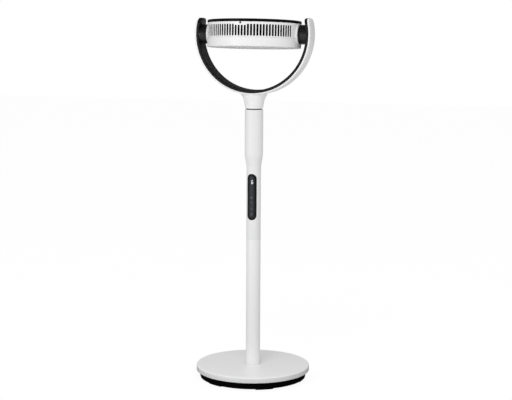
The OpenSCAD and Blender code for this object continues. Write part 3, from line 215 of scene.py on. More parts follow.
finishes = {
    "drumWhite": {
        "Color": (0.8, 0.8, 0.806), "Tint": (0.775, 0.775, 0.782), "Roughness": 0.36,
        "Spread": 0.08, "Peel": 0.3, "Bump": 0.2},
    "yokeWhite": {
        "Color": (0.82, 0.82, 0.823), "Tint": (0.79, 0.79, 0.795), "Roughness": 0.34,
        "Spread": 0.08, "Peel": 0.3, "Bump": 0.18},
    "columnWhite": {
        "Color": (0.775, 0.775, 0.777), "Tint": (0.75, 0.75, 0.755), "Roughness": 0.4,
        "Spread": 0.08, "Peel": 0.3, "Bump": 0.22},
    "tubePaint": {
        "Color": (0.8, 0.8, 0.802), "Tint": (0.775, 0.775, 0.78), "Roughness": 0.42,
        "Spread": 0.06, "Peel": 0.85, "Peel Scale": 620.0, "Bump": 0.3, "Depth": 0.00012},
    "plateWhite": {
        "Color": (0.9, 0.9, 0.902), "Tint": (0.88, 0.88, 0.883), "Roughness": 0.42,
        "Spread": 0.08, "Peel": 0.8, "Peel Scale": 560.0, "Bump": 0.3, "Depth": 0.00012,
        "Dust": (0.06, 0.6)},
    "panBlack": {
        "Color": (0.002, 0.002, 0.0022), "Tint": (0.003, 0.003, 0.0032), "Roughness": 0.5,
        "Spread": 0.12, "Peel": 0.4, "Bump": 0.35, "Level": 0.1},
    "linerBlack": {
        "Color": (0.0015, 0.0015, 0.0017), "Tint": (0.0025, 0.0025, 0.0027), "Roughness": 0.42,
        "Spread": 0.08, "Peel": 0.3, "Bump": 0.12, "Edge": (0.08, 0.012), "Dust": (0.02, 0.1),
        "Level": 0.28},
    "bossBlack": {
        "Color": (0.0015, 0.0015, 0.0017), "Tint": (0.0025, 0.0025, 0.0027), "Roughness": 0.42,
        "Spread": 0.06, "Peel": 0.3, "Bump": 0.08, "Edge": (0.05, 0.02), "Level": 0.52},
    "grilleBlack": {
        "Color": (0.002, 0.002, 0.0022), "Tint": (0.003, 0.003, 0.0032), "Roughness": 0.38,
        "Spread": 0.1, "Peel": 0.3, "Bump": 0.2, "Dust": (0.03, 0.12), "Edge": (0.08, 0.02),
        "Level": 0.12},
    "ribBlack": {
        "Color": (0.01, 0.01, 0.0105), "Tint": (0.015, 0.015, 0.0155), "Roughness": 0.36,
        "Spread": 0.1, "Peel": 0.3, "Bump": 0.15, "Dust": (0.05, 0.2), "Edge": (0.2, 0.06),
        "Level": 0.4},
    "capDark": {
        "Color": (0.03, 0.03, 0.032), "Tint": (0.04, 0.04, 0.042), "Roughness": 0.32,
        "Spread": 0.08, "Peel": 0.3, "Bump": 0.2, "Dust": (0.12, 0.3)},
    # Black of the air duct, also used on the slot lining as painted shade
    "ductAndSlotShadeBlack": {
        "Color": (0.004, 0.004, 0.0042), "Tint": (0.006, 0.006, 0.0062), "Roughness": 0.65,
        "Spread": 0.1, "Peel": 0.3, "Bump": 0.35, "Level": 0.1},
    "fanDark": {
        "Color": (0.03, 0.03, 0.033), "Tint": (0.04, 0.04, 0.043), "Roughness": 0.34,
        "Spread": 0.12, "Peel": 0.4, "Bump": 0.2, "Dust": (0.12, 0.35), "Edge": (0.15, 0.12)},
    "padRubber": {
        "Color": (0.012, 0.012, 0.012), "Tint": (0.02, 0.02, 0.02), "Roughness": 0.78,
        "Spread": 0.12, "Peel": 0.2, "Bump": 0.5, "Grain Scale": 1800.0},
    "seamBlack": {
        "Color": (0.006, 0.006, 0.006), "Tint": (0.01, 0.01, 0.01), "Roughness": 0.6,
        "Spread": 0.1, "Bump": 0.3},
    "weightIron": {
        "Color": (0.09, 0.09, 0.095), "Tint": (0.14, 0.135, 0.13), "Roughness": 0.62,
        "Spread": 0.25, "Peel": 0.6, "Bump": 0.6, "Depth": 0.0003, "Metallic": 0.6},
    "plainSteel": {
        "Color": (0.53, 0.54, 0.56), "Tint": (0.62, 0.62, 0.62), "Roughness": 0.3, "Spread": 0.16,
        "Metallic": 1.0, "Turned": 1400.0, "Bump": 0.15, "Depth": 0.00005},
    "darkSteel": {
        "Color": (0.01, 0.01, 0.011), "Tint": (0.015, 0.015, 0.016), "Roughness": 0.5,
        "Spread": 0.16, "Metallic": 0.4, "Bump": 0.2, "Edge": (0.1, 0.05), "Level": 0.2},
    "dullAlloy": {
        "Color": (0.55, 0.56, 0.57), "Tint": (0.62, 0.62, 0.63), "Roughness": 0.45, "Spread": 0.2,
        "Metallic": 1.0, "Bump": 0.35},
    "cableBlack": {
        "Color": (0.014, 0.014, 0.015), "Tint": (0.022, 0.022, 0.022), "Roughness": 0.55,
        "Spread": 0.1, "Bump": 0.25},
    "boardGreen": {
        "Color": (0.012, 0.14, 0.055), "Tint": (0.02, 0.2, 0.08), "Roughness": 0.35,
        "Spread": 0.15, "Bump": 0.25, "Drift Scale": 160.0},
    "displayWhite": {
        "Color": (0.8, 0.8, 0.8), "Tint": (0.75, 0.75, 0.75), "Roughness": 0.3, "Spread": 0.1,
        "Bump": 0.1},
    "naturalNylon": {
        "Color": (0.78, 0.75, 0.66), "Tint": (0.84, 0.82, 0.74), "Roughness": 0.42,
        "Spread": 0.12, "Bump": 0.2},
    "windingCopper": {
        "Color": (0.66, 0.3, 0.13), "Tint": (0.78, 0.4, 0.2), "Roughness": 0.28, "Spread": 0.2,
        "Metallic": 1.0, "Turned": 3200.0, "Bump": 0.8, "Depth": 0.0003},
}
looks = {name: makeFinish(name, values) for name, values in finishes.items()}
print("finishes made")


# The touch panel: smoked gloss, lighter in the middle and darker out to its edge, partly a dark
# border and partly painted sheen and shade across its curve
def makePanelLook():
    panel = {"borderAndShade": grey(0.003), "face": (0.041, 0.042, 0.048, 1), "middle": 0.4848,
             "half": 0.0485, "inside": 0.001, "outside": 0.0118, "smear": 70.0,
             "glossy": 0.22, "dull": 0.4, "level": 0.08, "coat": 0.05, "coatRough": 0.08}
    material, tree, shader = newMaterial("smokedPanel")
    place = objectPlace(tree)
    split = addNode(tree, "SeparateXYZ", {0: place}).outputs
    height = addMath(tree, "ABSOLUTE", addMath(tree, "SUBTRACT", split["Z"], panel["middle"]))
    beyond = addMath(tree, "SUBTRACT", height, panel["half"])
    past = addMath(tree, "MAXIMUM", beyond, 0.0)
    joined = addNode(tree, "CombineXYZ", {"X": split["X"], "Z": past}).outputs[0]
    reach = addNode(tree, "VectorMath", {0: joined}, operation="LENGTH").outputs["Value"]
    # From the middle out to the edge: painted sheen in the middle, then painted shade and the
    # dark border towards the edge
    sheenFade = mapRange(tree, reach, panel["inside"], panel["outside"], kind="SMOOTHSTEP")
    smear = addNoise(tree, place, panel["smear"], detail=4.0, rough=0.6)
    feed(tree, shader, {
        "Base Color": mixTones(tree, sheenFade, panel["face"], panel["borderAndShade"]),
        "Roughness": mapRange(tree, smear, 0.0, 1.0, panel["glossy"], panel["dull"]),
        "Specular IOR Level": panel["level"], "Coat Weight": panel["coat"],
        "Coat Roughness": panel["coatRough"]})
    return material


def makeGlowLook(name, glow):
    material, tree, shader = newMaterial(name)
    uneven = addNoise(tree, objectPlace(tree), scale=900.0, detail=1.0)
    dimmed = tuple(part * glow["dim"] for part in glow["colour"])
    tinted = mixTones(tree, uneven, (*glow["colour"], 1), (*dimmed, 1))
    feed(tree, shader, {"Base Color": tinted, "Emission Color": tinted, "Roughness": 0.4,
                        "Emission Strength": glow["strength"]})
    return material


glows = {"litDigit": {"colour": (0.86, 0.88, 0.95), "dim": 0.85, "strength": 0.8},
         "faintMark": {"colour": (0.2, 0.21, 0.23), "dim": 0.85, "strength": 0.06}}
looks["smokedPanel"] = makePanelLook()
for name, glow in glows.items():
    looks[name] = makeGlowLook(name, glow)


# Helpers for pieces
def showSmooth(bm, sharp):
    for face in bm.faces:
        face.smooth = True
    for edge in bm.edges:
        angle = edge.calc_face_angle(0) if len(edge.link_faces) == 2 else math.pi
        edge.smooth = angle < math.radians(sharp)


def asMesh(bm, name):
    mesh = bpy.data.meshes.new(name)
    bm.to_mesh(mesh)
    bm.free()
    return mesh


def inMetres(bm, place):
    bmesh.ops.transform(bm, matrix=Matrix.Scale(mm, 4) @ (place or Matrix()), verts=bm.verts)


def allParts(bm):
    return bm.verts[:] + bm.edges[:] + bm.faces[:]


def ease(t):
    return t * t * (3 - 2 * t)


# Slides what an extrude has made
def slideNew(bm, pushed, offset):
    moved = [part for part in pushed["geom"] if isinstance(part, bmesh.types.BMVert)]
    bmesh.ops.translate(bm, vec=offset, verts=moved)


def closeHoles(bm):
    bmesh.ops.holes_fill(bm, edges=[edge for edge in bm.edges if edge.is_boundary], sides=0)


# Cuts every face of a flat piece at these places along X, so that it can be bent
def cutStrips(bm, places):
    for place in places:
        bmesh.ops.bisect_plane(bm, geom=allParts(bm), dist=onCut, plane_co=(place, 0, 0),
                               plane_no=(1, 0, 0))


# Repeats one rib or blade round the axis
def repeatRound(bm, count):
    bmesh.ops.recalc_face_normals(bm, faces=bm.faces)
    bmesh.ops.spin(bm, geom=allParts(bm), cent=(0, 0, 0), axis=(0, 0, 1),
                   angle=math.tau * (count - 1) / count, steps=count - 1, use_duplicate=True)


def addPiece(mesh, name, body, look, node=None):
    mesh.materials.append(looks[look])
    piece = bpy.data.objects.new(name, mesh)
    scene.collection.objects.link(piece)
    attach(piece, body)
    if node:
        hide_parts(node)
    return piece


def finishPiece(bm, name, body, look, node=None, place=None, sharp=35, merged=weld):
    if merged:
        bmesh.ops.remove_doubles(bm, verts=bm.verts, dist=merged)
    bare = [edge for edge in bm.edges if not edge.link_faces]
    bmesh.ops.delete(bm, geom=bare, context="EDGES")
    inMetres(bm, place)
    bmesh.ops.recalc_face_normals(bm, faces=bm.faces)
    showSmooth(bm, sharp)
    return addPiece(asMesh(bm, name), name, body, look, node)


# A merged, smooth-shaded copy of a CAD node that stands for it
def dressCopy(node, name, body, look, sharp=32, flat=0.3):
    bm = bmesh.new()
    bm.from_mesh(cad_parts[node].data)
    bmesh.ops.remove_doubles(bm, verts=bm.verts, dist=weld * mm)
    bmesh.ops.dissolve_limit(bm, angle_limit=math.radians(flat), verts=bm.verts,
                             edges=bm.edges)
    bmesh.ops.triangulate(bm, faces=[face for face in bm.faces if len(face.verts) > 4],
                          ngon_method="EAR_CLIP")
    showSmooth(bm, sharp)
    return addPiece(asMesh(bm, name), name, body, look, node)


def roundCorners(bm, corners, radius, segments):
    bmesh.ops.bevel(bm, geom=corners, offset=radius, segments=segments, profile=0.5,
                    affect="VERTICES", material=-1)


# Rounds the edges that lie at one distance along an axis
def roundRim(bm, axis, level, radius, segments):
    rim = [edge for edge in bm.edges
           if all(abs(vert.co[axis] - level) < close for vert in edge.verts)]
    bmesh.ops.bevel(bm, geom=rim, offset=radius, segments=segments, profile=0.5,
                    affect="EDGES", material=-1, offset_type="OFFSET")


# A turned body about Z from a closed outline, with the corners named in rounds rounded
def turnOutline(points, rounds=(), segments=6, steps=192):
    bm = bmesh.new()
    corners = [bm.verts.new((x, 0, z)) for x, z in points]
    bm.faces.new(corners)
    for index, radius in rounds:
        roundCorners(bm, [corners[index]], radius, segments)
    bmesh.ops.delete(bm, geom=bm.faces[:], context="FACES_ONLY")
    bmesh.ops.spin(bm, geom=bm.verts[:] + bm.edges[:], cent=(0, 0, 0), axis=(0, 0, 1),
                   angle=math.tau, steps=steps, use_merge=True)
    bmesh.ops.remove_doubles(bm, verts=bm.verts, dist=close)
    return bm


# A turned ring or disc. Its corners count from the inner low one, round the outside
def turnBand(band, segments=3, steps=128):
    inner, outer, low, high = (band[key] for key in ("inner", "outer", "low", "high"))
    return turnOutline([(inner, low), (outer, low), (outer, high), (inner, high)],
                       band.get("rounds", ()), segments, steps)


# A piece's mesh less its cutters, which are removed
def carve(piece, cutters):
    for cutter in cutters:
        cut = piece.modifiers.new("cut", "BOOLEAN")
        cut.operation = "DIFFERENCE"
        cut.solver = "EXACT"
        cut.object = cutter
    bpy.context.view_layer.update()
    view = piece.evaluated_get(bpy.context.evaluated_depsgraph_get())
    mesh = bpy.data.meshes.new_from_object(view)
    piece.modifiers.clear()
    for cutter in cutters:
        bpy.data.objects.remove(cutter)
    return mesh


def cutAway(piece, cutters, sharp=30):
    mesh = carve(piece, cutters)
    bm = bmesh.new()
    bm.from_mesh(mesh)
    bmesh.ops.remove_doubles(bm, verts=bm.verts, dist=weld * mm)
    bmesh.ops.recalc_face_normals(bm, faces=bm.faces)
    showSmooth(bm, sharp)
    bm.to_mesh(piece.data)
    bm.free()
    bpy.data.meshes.remove(mesh)


def looseObject(bm, place=None):
    bmesh.ops.recalc_face_normals(bm, faces=bm.faces)
    inMetres(bm, place)
    cutter = bpy.data.objects.new("cutter", asMesh(bm, "cutter"))
    scene.collection.objects.link(cutter)
    return cutter


def plainDrum(radius, low, high, segments):
    bm = bmesh.new()
    bmesh.ops.create_cone(bm, cap_ends=True, segments=segments, radius1=radius, radius2=radius,
                          depth=high - low,
                          matrix=Matrix.Translation((0, 0, (low + high) / 2)))
    return bm


# Upright stadium in the XZ plane, pushed back from the front
def stadiumBlock(block):
    bm = bmesh.new()
    bmesh.ops.create_circle(bm, cap_ends=True, segments=64, radius=block["width"] / 2,
                            matrix=upright)
    for vert in bm.verts:
        if abs(vert.co.z) > close:
            vert.co.z += math.copysign((block["length"] - block["width"]) / 2, vert.co.z)
    bmesh.ops.translate(bm, vec=(0, block["front"], block["middle"]), verts=bm.verts)
    pushed = bmesh.ops.extrude_face_region(bm, geom=bm.faces[:])
    slideNew(bm, pushed, (0, block["back"] - block["front"], 0))
    return bm


# Foot
def makeFoot():
    plate = {"radius": 150.0, "low": 20.5, "high": 34.8, "wall": 2.5, "hole": 19.2,
             "topRound": 3.0, "lowRound": 0.9, "holeRound": 0.4, "segments": 8, "steps": 240}
    radius, low, high, hole = (plate[key] for key in ("radius", "low", "high", "hole"))
    inner, roof = radius - plate["wall"], high - plate["wall"]
    bm = turnOutline([(hole, high), (radius, high), (radius, low), (inner, low),
                      (inner, roof), (hole, roof)],
                     [(1, plate["topRound"]), (2, plate["lowRound"]), (0, plate["holeRound"])],
                     plate["segments"], plate["steps"])
    finishPiece(bm, "foot_plate", "stand", "plateWhite", "base_plate")
    dressCopy("base_pan", "foot_pan", "stand", "panBlack")
    dressCopy("foot_pads", "rubber_pads", "stand", "padRubber")
    dressCopy("dc_inlet", "power_inlet", "stand", "panBlack")
    dressCopy("pan_screws", "foot_screws", "stand", "plainSteel")


makeFoot()
print("foot made")


# Post, control column and the seam under the neck
def makePost():
    post = {"inner": 17.4, "outer": 18.9, "low": 18.0, "high": 371.8, "rounds": [(2, 0.4)]}
    finishPiece(turnBand(post), "post", "stand", "tubePaint", "post_tube")
    column = {"wide": 24.0, "top": 713.3, "taperLow": 559.3, "taperHigh": 599.3,
              "edge": 0.4, "shoulder": 1.2, "wall": 2.5, "lip": 18.0, "steps": 16}
    narrow, wide, wall = post["outer"], column["wide"], column["wall"]
    top, lip, rise = column["top"], column["lip"], column["taperHigh"] - column["taperLow"]
    side = [(narrow + (wide - narrow) * ease(step / column["steps"]),
             column["taperLow"] + rise * step / column["steps"])
            for step in range(column["steps"] + 1)]
    points = [(narrow, post["high"])] + side
    rounds = [(0, column["edge"]), (len(points), column["shoulder"])]
    points += [(wide, top), (lip, top), (lip, top - wall), (wide - wall, top - wall)]
    points += [(x - wall, z) for x, z in reversed(side)] + [(narrow - wall, post["high"])]
    sleeve = finishPiece(turnOutline(points, rounds, steps=160), "column_sleeve", "stand",
                         "columnWhite", "control_column")
    seat = {"width": 25.3, "length": 122.3, "middle": 484.8, "front": -40, "back": -10,
            "radius": 17.55, "low": 380, "high": 560, "segments": 160}
    cutter = looseObject(stadiumBlock(seat))
    core = plainDrum(seat["radius"], seat["low"], seat["high"], seat["segments"])
    cutter.data = carve(cutter, [looseObject(core)])
    cutAway(sleeve, [cutter])
    dressCopy("joiner_screws", "joint_screws", "stand", "plainSteel")
    dressCopy("frame_screws", "collar_screws", "stand", "plainSteel")
    seam = {"inner": 17.0, "outer": 20.6, "low": 711.8, "high": 717.6}
    finishPiece(turnBand(seam, steps=96), "swivel_seam", "stand", "seamBlack",
                "seam_ring")


makePost()
print("post made")


# Touch panel with its digit and marks
def makePanel():
    panel = {"radius": 18.9, "width": 25.0, "length": 122.0, "middle": 484.8, "front": 0,
             "back": 1.2, "edge": 0.35, "strip": 1.0}
    bm = stadiumBlock(panel)
    roundRim(bm, 1, panel["front"], panel["edge"], segments=3)
    bendOnPost(bm, panel["radius"], panel["strip"])
    finishPiece(bm, "touch_panel", "stand", "smokedPanel", "control_panel")
    digit = {"middle": (1.8, 524.6), "width": 4.2, "height": 10.0, "bar": 1.0, "gap": 0.12,
             "slant": 0.12, "proud": 0.03, "strip": 0.8, "lit": "acdefg"}
    finishPiece(makeDigit(digit, panel), "lit_digit", "stand", "litDigit")
    marks = {"heights": [483.2, 468.6, 454.0, 439.4], "lines": [0.65, 0.35, 0.35, 0.4],
             "size": 4.4, "proud": 0.03, "strip": 0.8}
    finishPiece(makeMarks(marks, panel), "key_marks", "stand", "faintMark",
                merged=0)


# Lays a flat piece straight back onto the post
def bendOnPost(bm, radius, strip):
    count = int(max(abs(vert.co.x) for vert in bm.verts) / strip)
    cutStrips(bm, [step * strip for step in range(-count, count + 1)])
    for vert in bm.verts:
        depth = radius - vert.co.y
        vert.co.y = -math.sqrt(depth ** 2 - vert.co.x ** 2)


# Gives the flat faces of a sign a thin body, half of it in front of the panel
def layOnPanel(bm, sign, panel):
    pushed = bmesh.ops.extrude_face_region(bm, geom=bm.faces[:])
    slideNew(bm, pushed, (0, sign["proud"] * 2, 0))
    bendOnPost(bm, panel["radius"] + sign["proud"], sign["strip"])
    return bm


def makeDigit(digit, panel):
    bm = bmesh.new()
    w, h, t = digit["width"] - digit["bar"], digit["height"] - digit["bar"], digit["bar"]
    bars = {"a": (0, h / 2, w, 0), "g": (0, 0, w, 0), "d": (0, -h / 2, w, 0),
            "f": (-w / 2, h / 4, 0, h / 2), "b": (w / 2, h / 4, 0, h / 2),
            "e": (-w / 2, -h / 4, 0, h / 2), "c": (w / 2, -h / 4, 0, h / 2)}
    for name in digit["lit"]:
        x, z, across, up = bars[name]
        end = ((across or up) - digit["gap"] * t * 2) / 2
        shape = [(-end, 0), (-end + t / 2, t / 2), (end - t / 2, t / 2), (end, 0),
                 (end - t / 2, -t / 2), (-end + t / 2, -t / 2)]
        if up:
            shape = [(b, a) for a, b in shape]
        bm.faces.new([bm.verts.new((x + a + (z + b) * digit["slant"], 0, z + b))
                      for a, b in shape])
    bmesh.ops.translate(bm, vec=(digit["middle"][0], 0, digit["middle"][1]), verts=bm.verts)
    return layOnPanel(bm, digit, panel)


# Four plain key marks: a ring with a bar, a swing arc, three strokes and a clock
def makeMarks(marks, panel):
    bm = bmesh.new()
    size = marks["size"] / 2
    widths = dict(zip(marks["heights"], marks["lines"]))

    def stroke(points, middle):
        for (x0, z0), (x1, z1) in zip(points, points[1:]):
            side = Vector((x1 - x0, z1 - z0))
            across = Vector((-side.y, side.x)).normalized() * widths[middle] / 2
            ends = [(x0 - across.x, z0 - across.y), (x1 - across.x, z1 - across.y),
                    (x1 + across.x, z1 + across.y), (x0 + across.x, z0 + across.y)]
            bm.faces.new([bm.verts.new((x, 0, z + middle)) for x, z in ends])

    def arc(radius, start, end, count=14):
        turns = [math.radians(start + (end - start) * k / count) for k in range(count + 1)]
        return [(radius * math.sin(turn), radius * math.cos(turn)) for turn in turns]

    power, swing, speed, clock = marks["heights"]
    stroke(arc(size * 0.9, 35, 325), power)
    stroke([(0, size * 0.1), (0, size * 1.1)], power)
    stroke(arc(size, -62, 62), swing)
    for side in (-size, size):
        stroke([(side * 0.5, size * 0.1), (side * 0.9, size * 0.5), (side * 0.3, size * 0.6)],
               swing)
    for turn in (0, 120, 240):
        stroke([(x * 0.9, z * 0.9) for x, z in arc(size, turn, turn + 60, 5)], speed)
        stroke([(0, 0), arc(size * 0.9, turn, turn + 60, 1)[0]], speed)
    stroke(arc(size, 0, 360, 18), clock)
    stroke([(0, size * 0.6), (0, 0), (size * 0.45, -size * 0.1)], clock)
    return layOnPanel(bm, marks, panel)


makePanel()
print("touch panel made")


# A flat strap with rounded ends, bent round the pivot
def makeStrap(strap):
    outer, thick, half = strap["outer"], strap["outer"] - strap["inner"], strap["width"] / 2
    reach = 90 + math.degrees(math.asin(strap["rise"] / outer))
    length = math.radians(reach) * outer
    bm = bmesh.new()
    corners = [bm.verts.new((x, y, 0)) for x, y in
               ((-length, -half), (length, -half), (length, half), (-length, half))]
    bm.faces.new(corners)
    roundCorners(bm, corners, strap["corner"], segments=14)
    slideNew(bm, bmesh.ops.extrude_face_region(bm, geom=bm.faces[:]), (0, 0, thick))
    roundRim(bm, 2, 0.0, strap["edgeOut"], segments=4)
    roundRim(bm, 2, thick, strap["edgeIn"], segments=4)
    count = int(reach / strap["strip"])
    cutStrips(bm, [math.radians(k * strap["strip"]) * outer for k in range(-count, count + 1)])
    for vert in bm.verts:
        angle, radius = vert.co.x / outer, outer - vert.co.z
        vert.co.x, vert.co.z = radius * math.sin(angle), -radius * math.cos(angle)
    return bm


def makeYoke():
    shell = {"outer": 155.5, "inner": 150.9, "width": 51.0, "rise": 42.5, "corner": 15.0,
             "edgeOut": 2.4, "edgeIn": 0.3, "strip": 1.5}
    liner = dict(shell, outer=150.8, inner=143.6, width=50.9, rise=42.4, edgeOut=0.3, edgeIn=1.5)
    finishPiece(makeStrap(shell), "outer_yoke", "yoke", "yokeWhite",
                "yoke_shell", pivotPlace, 40)
    finishPiece(makeStrap(liner), "inner_yoke", "yoke", "linerBlack",
                "yoke_liner", pivotPlace, 40)
    neck = {"low": 715.9, "high": 751.6, "radius": 23.0, "flare": 7.0, "curl": 6.0,
            "sharpness": 6, "shoulder": 1.2, "steps": 18, "seat": 154.1, "side": 24.7,
            "sunk": 2.2, "spread": 0.6}
    low, rise, radius = neck["low"], neck["high"] - neck["low"], neck["radius"]

    def flared(t):
        return radius + neck["flare"] * t + neck["curl"] * t ** neck["sharpness"]

    points = [(0, low)]
    for step in range(neck["steps"] + 1):
        t = step / neck["steps"]
        points.append((flared(t), low + rise * t))
    top = neck["high"] + neck["sunk"]
    points += [(points[-1][0] + neck["spread"], top), (0, top)]
    bm = turnOutline(points, [(1, neck["shoulder"])], steps=128)
    for vert in bm.verts:
        t = min(max((vert.co.z - low) / rise, 0), 1)
        vert.co.y *= (radius + (neck["side"] - radius) * ease(t)) / flared(t)
        if vert.co.z > neck["high"] - close:
            vert.co.z = pivotHeight - math.sqrt(neck["seat"] ** 2 - vert.co.x ** 2)
    finishPiece(bm, "yoke_neck", "yoke", "yokeWhite", "yoke_shell")


makeYoke()
print("yoke made")


# Pivots: bosses on the yoke, discs and collars on the head
def makePivots():
    boss = {"inner": 7.0, "outer": 25.0, "low": 127.1, "high": 144.2, "rounds": [(1, 1.0)]}
    disc = {"inner": 0, "outer": 24.7, "low": 122.4, "high": 126.8,
            "rounds": [(2, 0.6), (1, 0.6)]}
    collar = {"inner": 0, "outer": 30.4, "low": 112.2, "high": 122.1, "rounds": [(2, 1.1)],
              "front": 27.15}
    for side, name in ((1, "right"), (-1, "left")):
        out = Matrix.Scale(side, 4, (1, 0, 0)) @ alongX
        finishPiece(turnBand(boss, 5), name + "_pivot_boss", "yoke", "bossBlack",
                    name + "_boss", pivotPlace @ out)
        finishPiece(turnBand(disc, 4), name + "_pivot_disc", "head", "bossBlack",
                    name + "_trunnion", headPlace @ out)
        bm = turnBand(collar, 6, 160)
        bmesh.ops.transform(bm, matrix=out, verts=bm.verts)
        bmesh.ops.bisect_plane(bm, geom=allParts(bm), dist=onCut, clear_outer=True,
                               plane_co=(0, 0, collar["front"]), plane_no=(0, 0, 1))
        closeHoles(bm)
        finishPiece(bm, name + "_collar", "head", "drumWhite",
                    "front_housing", headPlace)


makePivots()
print("pivots made")


# Head: the slotted front housing, a white slotted skin with a black lining just behind it that
# paints shade into the slots, and the rear housing
def makeHousings():
    drum = {"outer": 121.7, "inner": 120.8, "low": -11.05, "high": 27.15, "places": 96,
            "slotWidth": 5.4, "slotLow": -8.4, "slotHigh": 21.5, "cut": 2.7, "edge": 0.15,
            "free": 22.0, "ends": 20}
    screw = {"radius": 2.65, "height": 24.35, "low": 100, "high": 140, "segments": 32}
    # Black lining under the white skin, slot for slot: painted shade on the slots' sides
    shadeLining = dict(drum, outer=120.8, inner=119.9, edge=0.05)
    holePlace = headPlace @ Matrix.Translation((0, 0, screw["height"])) @ upright
    walls = [finishPiece(slottedWall(size), name, "head", look,
                         "front_housing", headPlace, 30)
             for size, name, look in ((drum, "slotted_drum", "drumWhite"),
                                      (shadeLining, "slot_shade_lining", "ductAndSlotShadeBlack"))]
    for wall in walls:
        hole = plainDrum(screw["radius"], screw["low"], screw["high"], screw["segments"])
        cutAway(wall, [looseObject(hole, holePlace)])
    dressCopy("rear_housing", "rear_drum", "head", "drumWhite")
    dressCopy("rear_screws", "back_screws", "head", "plainSteel")
    dressCopy("housing_screws", "ledge_screws", "head", "plainSteel")
    dressCopy("grille_screw", "lock_screw", "head", "darkSteel")


# A wall of slots: one cell repeated round the axis and closed at both rims
def slottedWall(drum):
    step = math.tau / drum["places"]
    reach = drum["outer"] * step / 2
    low, high, near = drum["low"], drum["high"], 0.01
    whole = bmesh.new()
    for kind in ("long", "short", "blank"):
        mesh = asMesh(slotCell(drum, kind, reach, low, high), "cell")
        for place in range(drum["places"]):
            angle = (place + 0.5) * step
            if kind != cellKind(angle, step, drum["free"]):
                continue
            before = len(whole.verts)
            whole.from_mesh(mesh)
            whole.verts.ensure_lookup_table()
            bmesh.ops.rotate(whole, cent=(0, 0, 0), matrix=Matrix.Rotation(angle, 3, "Z"),
                             verts=whole.verts[before:])
        bpy.data.meshes.remove(mesh)
    bmesh.ops.remove_doubles(whole, verts=whole.verts, dist=near)
    for level in (low, high):
        rims = [edge for edge in whole.edges if edge.is_boundary
                and all(abs(vert.co.z - level) < near for vert in edge.verts)]
        bmesh.ops.bridge_loops(whole, edges=rims)
    return whole


# No slots near the pivots, and four short ones under the screw in the middle
def cellKind(angle, step, free):
    if abs(math.sin(angle)) > math.cos(math.radians(free)):
        return "blank"
    return "short" if math.cos(angle) > math.cos(2 * step) else "long"


# One cell of the drum's wall: a slot between two half bars, bent to the drum's radius
def slotCell(drum, kind, reach, low, high):
    bm = bmesh.new()
    top = drum["slotHigh"] - (drum["cut"] if kind == "short" else 0)
    middle, half = (drum["slotLow"] + top) / 2, (top - drum["slotLow"]) / 2
    usual = (drum["slotLow"] + drum["slotHigh"]) / 2
    usualHalf = (drum["slotHigh"] - drum["slotLow"]) / 2 - drum["slotWidth"] / 2
    shares = {0: 1, 1: 1, 2: 1, 3: 0.62, 4: 0.3, 5: 0}  # how far out the rim's points lie

    def slotLoop(radius, depth):
        made = bmesh.ops.create_circle(bm, segments=drum["ends"], radius=radius, matrix=upright)
        for vert in made["verts"]:
            lift = half - drum["slotWidth"] / 2
            if abs(vert.co.z) > close:
                vert.co.z += math.copysign(lift, vert.co.z)
            vert.co.z += middle
            vert.co.y = depth
        return loopEdges(made["verts"])

    def rimLoop(depth):
        made = bmesh.ops.create_circle(bm, segments=drum["ends"], radius=1, matrix=upright)
        for vert in made["verts"]:
            turn = round(math.degrees(math.atan2(vert.co.z, abs(vert.co.x)))
                         / (360 / drum["ends"]))
            side = math.copysign(1, vert.co.x) if abs(vert.co.x) > close else 0
            if abs(turn) < 2:
                z = usual + turn * usualHalf
            else:
                z = high if turn > 0 else low
            vert.co = (side * shares[abs(turn)] * reach, depth, z)
        return loopEdges(made["verts"])

    def loopEdges(verts):
        inside = set(verts)
        return [edge for edge in bm.edges if all(vert in inside for vert in edge.verts)]

    thick = drum["outer"] - drum["inner"]
    width = drum["slotWidth"] / 2
    rims = [rimLoop(0), rimLoop(thick)]
    if kind == "blank":
        for rim in rims:
            made = bmesh.ops.edgenet_fill(bm, edges=rim)
            bmesh.ops.triangulate(bm, faces=made["faces"])
    else:
        loops = [slotLoop(width + drum["edge"], 0), slotLoop(width, drum["edge"]),
                 slotLoop(width, thick)]
        for first, second in ((rims[0], loops[0]), (loops[0], loops[1]),
                              (loops[1], loops[2]), (loops[2], rims[1])):
            bmesh.ops.bridge_loops(bm, edges=first + second)
    for vert in bm.verts:
        angle = vert.co.x / drum["outer"]
        radius = drum["outer"] - vert.co.y
        vert.co.x = radius * math.sin(angle)
        vert.co.y = -radius * math.cos(angle)
    return bm


makeHousings()
print("housings made")


